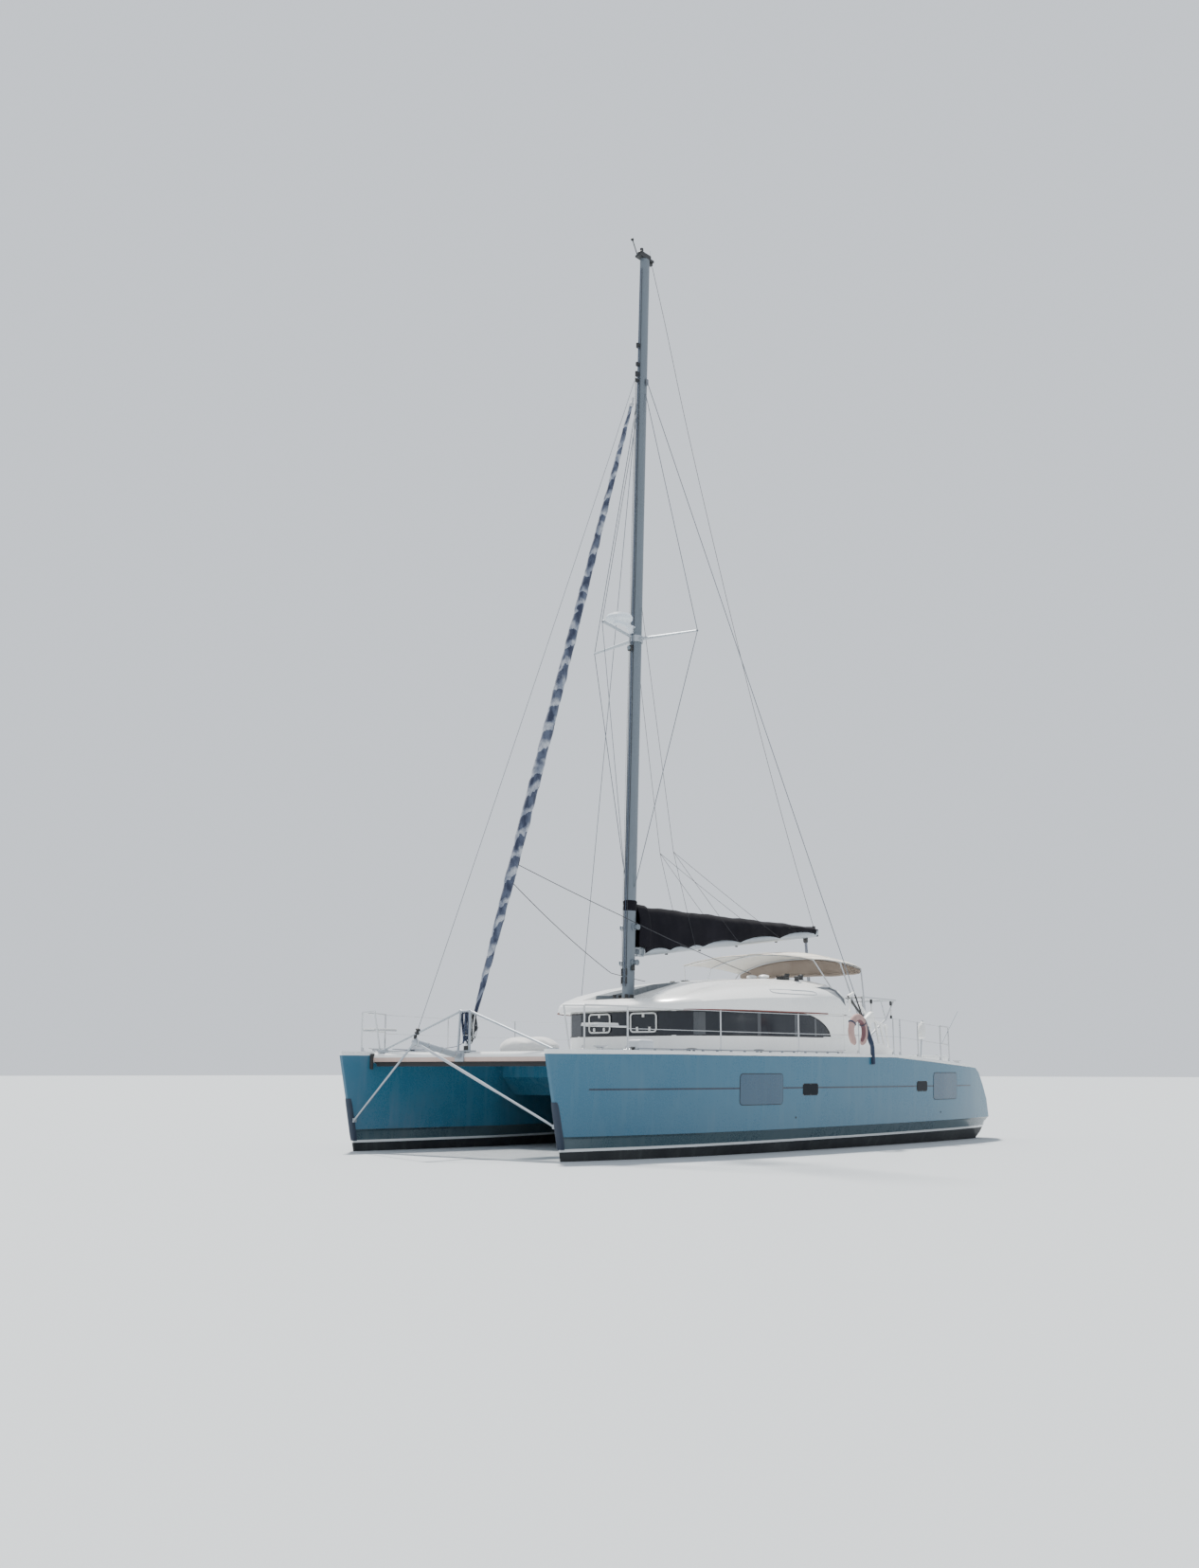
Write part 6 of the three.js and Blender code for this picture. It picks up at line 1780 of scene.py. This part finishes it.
straps = Shape()
for degrees in quarter["straps"]:
    spot, out = buoySpot(degrees)
    wide, deep = buoy["wide"] + 0.005, buoy["deep"] + 0.004
    loop = [spot + out * wide * c + Vector((0, deep * s, 0)) for c, s in circle(20)]
    straps.tube(loop, 0.006, 6, closed=True, flat=2.6)
straps.piece("buoyStraps", "navyCanvas", "navy")
staff = Shape().tube([(-3.62, 3.125, 1.72), (-4.30, 3.10, 2.30)], 0.010)
staff.tube([(-2.86, 3.115, 1.46), (-2.97, 3.115, 2.10)], 0.012)
staff.piece("quarterStaff", "alloy", "alloy")
dan = Shape().stepped((-2.905, 3.115, 1.78), Vector((-0.17, 0, 0.985)).normalized(), quarter["float"], 20)
dan.piece("danFloat", "whitePlastic", "gelcoat")
print("quarter fittings done")

# Cockpit: panes, door, helm, cushions

panes = {
    "x": -2.030, "y": 1.060, "z": 2.080, "size": (0.008, 0.874, 0.594),
    "posts": (0.632, 1.488), "post": (0.070, 0.024, 0.610),
    "rails": (1.785, 2.375), "rail": (0.070, 0.880, 0.022),
}
glass, bars = Shape(), Shape()
for sign, side in bothSides:
    glass.block((panes["x"], sign * panes["y"], panes["z"]), panes["size"], 0.002)
    bars.blocks([((panes["x"], sign * y, panes["z"]), panes["post"], 0.005) for y in panes["posts"]])
    bars.blocks([((panes["x"], sign * panes["y"], z), panes["rail"], 0.005) for z in panes["rails"]])
glass.piece("bulkheadPanes", "smoked", "smoked")
bars.piece("bulkheadFrames", "rubber", "black")
pane = Shape().block((-2.085, 0, 1.990), (0.010, 0.664, 0.984), 0.002)
pane.piece("doorPane", "smoked", "smoked", "saloon_door")
bow = ((-2.110, 1.88), (-2.140, 1.90), (-2.140, 2.08), (-2.110, 2.10))
latch = Shape().tube([(x, 0.365, z) for x, z in bow], 0.008)
latch.block((-2.107, 0.365, 1.99), (0.010, 0.036, 0.27), 0.004)
latch.piece("doorHandle", "steel", "steel", "saloon_door")

helm = {
    "hub": Vector((-2.430, 1.080, 1.980)), "radius": 0.340, "grip": 0.0155,
    "boss": [(0, 0.040), (0.012, 0.040), (0.024, 0.030), (0.030, 0.012)],
    "pods": (0.950, 1.080, 1.210), "podTilt": -20,
    "compass": [(0, 0.075), (0.02, 0.075), (0.045, 0.062), (0.070, 0.035), (0.078, 0.005)],
    "levers": (1.240, 1.284),
    "knob": [(0, 0.006), (0.006, 0.014), (0.022, 0.016), (0.034, 0.008)],
}
pods, screens, levers = Shape(), Shape(), Shape()
for y in helm["pods"]:
    pods.block((-2.238, y, 2.144), (0.060, 0.112, 0.100), 0.012, tilted(helm["podTilt"]))
    screens.block((-2.268, y, 2.146), (0.006, 0.092, 0.076), 0.002, tilted(helm["podTilt"]))
pods.stepped((-2.175, 1.080, 2.125), upward, helm["compass"], 24)
for y in helm["levers"]:
    levers.tube([(-2.190, y, 2.120), (-2.225, y, 2.245)], 0.006)
    levers.stepped((-2.222, y, 2.232), (-0.27, 0, 0.963), helm["knob"], 12)
pods.piece("helmPods", "blackPlastic", "black")
screens.piece("helmScreens", "smoked", "smoked")
levers.piece("throttles", "steel", "steel")
rim = [helm["hub"] + Vector((0, c, s)) * helm["radius"] for c, s in circle(64)]
Shape().tube(rim, helm["grip"], 10, closed=True).piece("wheelGrip", "blackCanvas", "black", "helm_wheel")
boss = Shape().stepped(helm["hub"] - Vector((0.036, 0, 0)), (-1, 0, 0), helm["boss"], 20)
boss.piece("wheelBoss", "steel", "steel", "helm_wheel")

cushions = [      # name, x, y, foot, thickness, pads side by side
    ("cushionSide", (-3.64, -2.37), (-1.352, -0.890), 1.4805, 0.075, 1),
    ("cushionAft", (-4.165, -3.69), (-1.352, 0.610), 1.4805, 0.075, 3),
    ("cushionHelm", (-3.190, -2.970), (0.775, 1.325), 1.7805, 0.070, 1),
]


def cushion(shape, x0, x1, y0, y1, foot, thick):
    # A stuffed pad with a rounded rim and a slight crown
    top, low = [], []
    for u in steps(-1, 1, 14):
        top.append([])
        low.append([])
        for v in steps(-1, 1, 14):
            x = (x0 + x1) / 2 + eased(u, 0.7) * (x1 - x0) / 2
            y = (y0 + y1) / 2 + eased(v, 0.7) * (y1 - y0) / 2
            edge = (1 - abs(u) ** 6) * (1 - abs(v) ** 6)
            puff = thick * (0.30 + 0.62 * max(edge, 0) ** 0.45) + 0.006 * (1 - u * u) * (1 - v * v)
            top[-1].append((x, y, foot + puff))
            low[-1].append((x, y, foot + 0.001))
    shape.blanket(top, low)


for name, xs, (y0, y1), foot, thick, count in cushions:
    made = Shape()
    ys = steps(y0, y1, count)
    for a, b in zip(ys, ys[1:]):
        cushion(made, *xs, a + 0.004, b - 0.004, foot, thick)
    made.piece(name, "cushionCloth", "navy", angle=70)
print("cockpit done")

# Front of the sail cover: cloth that joins the boom's cover to a collar on the mast

collar = {
    "x": (0.930, 1.205),
    "half": 0.142, "top": 4.018, "foot": 3.290, "rise": 0.012, "tuck": 0.22, "pinch": 0.16, "fold": 0.006,
    "stations": 14, "around": 22,
    "cut": (1.60, 0.30), "cutArea": 0.46,
    "ring": (0.126, 0.089), "ringSides": 28,
    "band": [       # z, how far it stands off the mast
        (3.900, 0.004), (3.920, 0.014), (3.9875, 0.010), (4.055, 0.016),
        (4.075, 0.006), (4.075, 0.001), (3.900, 0.001),
    ],
}
grid = []
for share in steps(0, 1, collar["stations"]):
    x = collar["x"][0] + (collar["x"][1] - collar["x"][0]) * share
    half, row = collar["half"] * (1 - collar["pinch"] * share ** 2), []
    for t in steps(-1, 1, collar["around"]):
        wide, z = draped(half, collar["top"], collar["foot"], t, collar["tuck"])
        wide += collar["fold"] * math.sin(9 * t + 14 * x) * min(1, abs(t) * 3)
        row.append((x, math.copysign(wide, t) if t else 0.0, z + collar["rise"] * share))
    grid.append(row)
piece = sheetShell("coverCollar", grid, cover["cloth"], None, "blackCanvas", "black")
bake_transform(piece)
rows = []
for k, (c, s) in enumerate(circle(collar["ringSides"])):
    out = Vector((collar["ring"][0] * c, collar["ring"][1] * s, 0))
    wave = 0.002 * math.sin(5 * 2 * math.pi * k / collar["ringSides"])
    rows.append([Vector((mastX(z), 0, z)) + out * (1 + (lift + wave) / 0.105) for z, lift in collar["band"]])
Shape().loft(rows, closed=True).piece("mastCollar", "blackCanvas", "black", angle=70)

# Valance along the canopy's after edge, rolled and lashed level; its brown is painted shade under the canopy

valance = {
    "x": -3.812, "low": 3.050, "y": 1.395, "tuck": 0.014, "sag": 0.018, "thick": 0.0030,
    "across": 44, "down": 8, "cut": (2.79, 0.33), "cutArea": 0.70,
    "roll": 0.034, "rollDrop": 0.010, "tied": 0.68, "rollSides": 14,
}


def valanceFoot(t):
    sag = valance["sag"] * math.sin(math.pi * (1 - abs(t))) * (0.6 + 0.4 * math.cos(11 * t))
    return valance["low"] - sag


half, edge, crown = (monotone(canopy["rows"], -3.802, c) for c in (1, 2, 3))
grid = []
for s in steps(0, 1, valance["down"]):
    row = []
    for t in steps(-1, 1, valance["across"]):
        top = edge + (crown - edge) * (1 - abs(t) ** 2.4) - valance["tuck"]
        x = valance["x"] + 0.012 * math.sin(8 * t + 2 * s) * s + 0.006 * math.sin(23 * t) * s
        row.append((x, t * valance["y"], top + (min(valanceFoot(t), top - 0.02) - top) * s))
    grid.append(row)
piece = sheetShell("canopyValance", grid, valance["thick"], "boat", "shadeCanvas", "cream")
rings = []
for i, y in enumerate(steps(0.03 - valance["y"], valance["y"] - 0.03, 60)):
    z = valanceFoot(y / valance["y"]) - valance["rollDrop"]
    r = valance["roll"] * (valance["tied"] if i % 12 == 6 else 1.0) * min(1, 0.4 + 0.2 * min(i, 60 - i))
    rings.append([(valance["x"] + r * c, y, z + 0.85 * r * s) for c, s in circle(valance["rollSides"])])
Shape().loft(rings).piece("valanceRoll", "shadeCanvas", "cream", angle=70)

# Stowed lines at the forestay's foot: hanks of rope on the striker, a furling line aft

hanks = {
    "seed": 23,
    "kinds": [("hankPale", "ropeWhite", 9), ("hankDark", "ropeNavy", 7), ("hankBlack", "ropeBlack", 4)],
    "rope": 0.0105, "top": 2.095,
    "lean": (-0.25, 0.25), "tall": (0.14, 0.24), "wide": (0.040, 0.080),
    "x": (5.085, 5.160), "y": (-0.105, 0.105),
}
furlPath = [
    (5.16, -0.060, 1.800), (5.02, -0.30, 1.60), (4.95, -1.20, 1.545), (4.82, -2.02, 1.560),
    (3.40, -2.60, 1.545), (1.20, -2.82, 1.540), (-1.20, -2.90, 1.540), (-1.90, -2.86, 1.545),
]
random.seed(hanks["seed"])
for name, finish, count in hanks["kinds"]:
    loops = []
    for k in range(count):
        lean, tall, wide, x, y = (random.uniform(*hanks[key]) for key in ("lean", "tall", "wide", "x", "y"))
        across = Vector((0.35 + lean, 0.94, 0)).normalized() * wide
        loop = []
        for a in steps(0, 2 * math.pi, 32):
            twist = Vector((0.02 * math.sin(2 * a + k), 0, tall * math.cos(a)))
            loop.append(Vector((x, y, hanks["top"] - tall)) + across * math.sin(a) + twist)
        loops.append(loop)
    cords(name, loops, hanks["rope"], finish, "navy", 7)
cords("furlingLine", [pointsAlong(furlPath, 70)], 0.0048, "ropeNavy", "navy", 7)

# Seat planks in the pulpits, and bases under stanchions and rails with their bolts

rails = {
    "seat": (4.83, 4.8, 0.361),         # x, where the deck is measured, height above it
    "seatInset": 0.122, "plank": (0.47, 0.064, 0.026), "pitch": 0.075,
    "edge": [(1.6, 3.13), (2.9, 2.99), (3.3, 2.93), (4.5, 2.66), (5.3, 2.395)],
    "bases": [-3.88, -3.54, -2.70, -2.08, -1.85, -0.75, 0.91, 2.75, 4.50, 5.18], "baseInset": 0.092,
    "socket": [(0, 0.024), (0.040, 0.018), (0.055, 0.0165)],
}
planks, bases, bolts = Shape(), Shape(), []
for sign, side in bothSides:
    x, deckX, rise = rails["seat"]
    seat = monotone(rails["edge"], deckX, 1) - rails["seatInset"]
    for k in range(4):
        planks.block((x, sign * (seat - rails["pitch"] * k), sheer(deckX) + rise), rails["plank"], 0.006)
    for x in rails["bases"]:
        at = onDeck(sign, x, rails["baseInset"])[0]
        bases.block(at + upward * 0.004, (0.086, 0.070, 0.012), 0.004)
        bases.stepped(at + upward * 0.006, upward, rails["socket"], 16)
        bolts += [(at + Vector((dx, dy, 0.010)), upward) for dx in (-0.030, 0.030) for dy in (-0.022, 0.022)]
planks.piece("pulpitSeats", "whitePlastic", "gelcoat")
bases.piece("stanchionBases", "steel", "steel")
studs("baseBolts", bolts, 0.0060, 0.004)
print("rails dressed")

# Engine lids: recessed latches, hinges and a grip pad; treads with grips

lid = {"x": (-4.560, -3.820), "y": (1.900, 2.700), "top": 1.504}
treads = {"rows": [(-4.885, -4.640), (-5.200, -4.925)], "y": 1.62, "pitch": 0.285, "wide": 0.262}
for sign, side in bothSides:
    made, node = Shape(), "engine_lid_" + side
    (x0, x1), (y0, y1), top = lid["x"], sorted(sign * y for y in lid["y"]), lid["top"]
    for y in (y0 + 0.16, y1 - 0.16):
        made.block((x0 + 0.070, y, top + 0.002), (0.070, 0.055, 0.012), 0.005)
        made.tube([(x0 + 0.050, y, top + 0.010), (x0 + 0.090, y, top + 0.010)], 0.007)
        made.block((x1 - 0.045, y, top + 0.004), (0.090, 0.050, 0.010), 0.003)
    made.piece("lidLatches_" + side, "steel", "steel", node)
    cast = lambda u, v: under([node], u, v)
    pad = Shape().pressed(cast, (x0 + 0.13, x1 - 0.12, y0 + 0.09, y1 - 0.09), 0.05, 0.0030, 0.002)
    pad.piece("lidGrip_" + side, "shadeGrey", "deck", node)
grips = Shape()
for sign, side in bothSides:
    cast = lambda u, v: under([hullOf(sign)], u, v, 3)
    for x0, x1 in treads["rows"]:
        for k in range(4):
            near = treads["y"] + treads["pitch"] * k
            box = (x0, x1, *sorted((sign * near, sign * (near + treads["wide"]))))
            grips.pressed(cast, box, 0.018, 0.0045, 0.002, columns=4)
grips.piece("treadGrips", "teak", "deck")

# Under water: anodes on keels and propellers, and the outlets above

wet = {
    "y": 2.325,
    "anodes": [(-3.62, -0.690), (-3.62, -0.610)], "disc": [(-0.02, 0.026), (0.004, 0.026), (0.010, 0.018)],
    "bar": (-1.90, 0.22, -0.632),
    "prop": (-4.025, -0.790), "nut": [(-0.006, 0.031), (0.004, 0.031), (0.030, 0.024), (0.046, 0.010)],
    "outlets": [(1.10, 0.52), (-3.35, 0.52)],
    "outlet": [(0, 0.014), (0.008, 0.016), (0.012, 0.010), (0.0125, 0.006)],
}
anodes, outlets = Shape(), Shape()
for sign, side in bothSides:
    y = sign * wet["y"]
    for x, z in wet["anodes"]:
        anodes.stepped((x, y + sign * 0.052, z), (0, sign, 0), wet["disc"], 16)
    x, out, z = wet["bar"]
    anodes.block((x, y + sign * out, z), (0.24, 0.060, 0.036), 0.010)
    for x, z in wet["outlets"]:
        at, normal = onHull(sign, x, z)
        outlets.stepped(at - normal * 0.006, normal, wet["outlet"], 16)
    nut = Shape().stepped((wet["prop"][0], y, wet["prop"][1]), (-1, 0, 0), wet["nut"], 18)
    nut.piece("propAnode_" + side, "galvanised", "bronze", "prop_" + side)
anodes.piece("anodes", "galvanised", "bronze")
outlets.piece("hullOutlets", "rubber", "black")

# Davits: blocks and falls

davit = {"x": (-4.72, -5.46), "y": 1.050, "z": (2.615, 0.018), "strands": (-0.014, 0, 0.014), "fall": 0.0042}
blocks = Shape()
for sign, side in bothSides:
    y = sign * davit["y"]
    for x in davit["x"]:
        z = davit["z"][0] + (x + 4.4) * davit["z"][1]
        blocks.block((x, y, z - 0.062), (0.050, 0.036, 0.085), 0.012)
        blocks.block((x, y, z - 0.330), (0.045, 0.034, 0.070), 0.012)
        falls = [[(x + dx, y, z - 0.09), (x + dx * 0.8, y, z - 0.310)] for dx in davit["strands"]]
        cords(f"davitFall_{side}_{int(-x * 100)}", falls, davit["fall"], "ropeWhite", "navy", 6)
blocks.piece("davitBlocks", "blackPlastic", "black")
print("stern, under water and davits done")
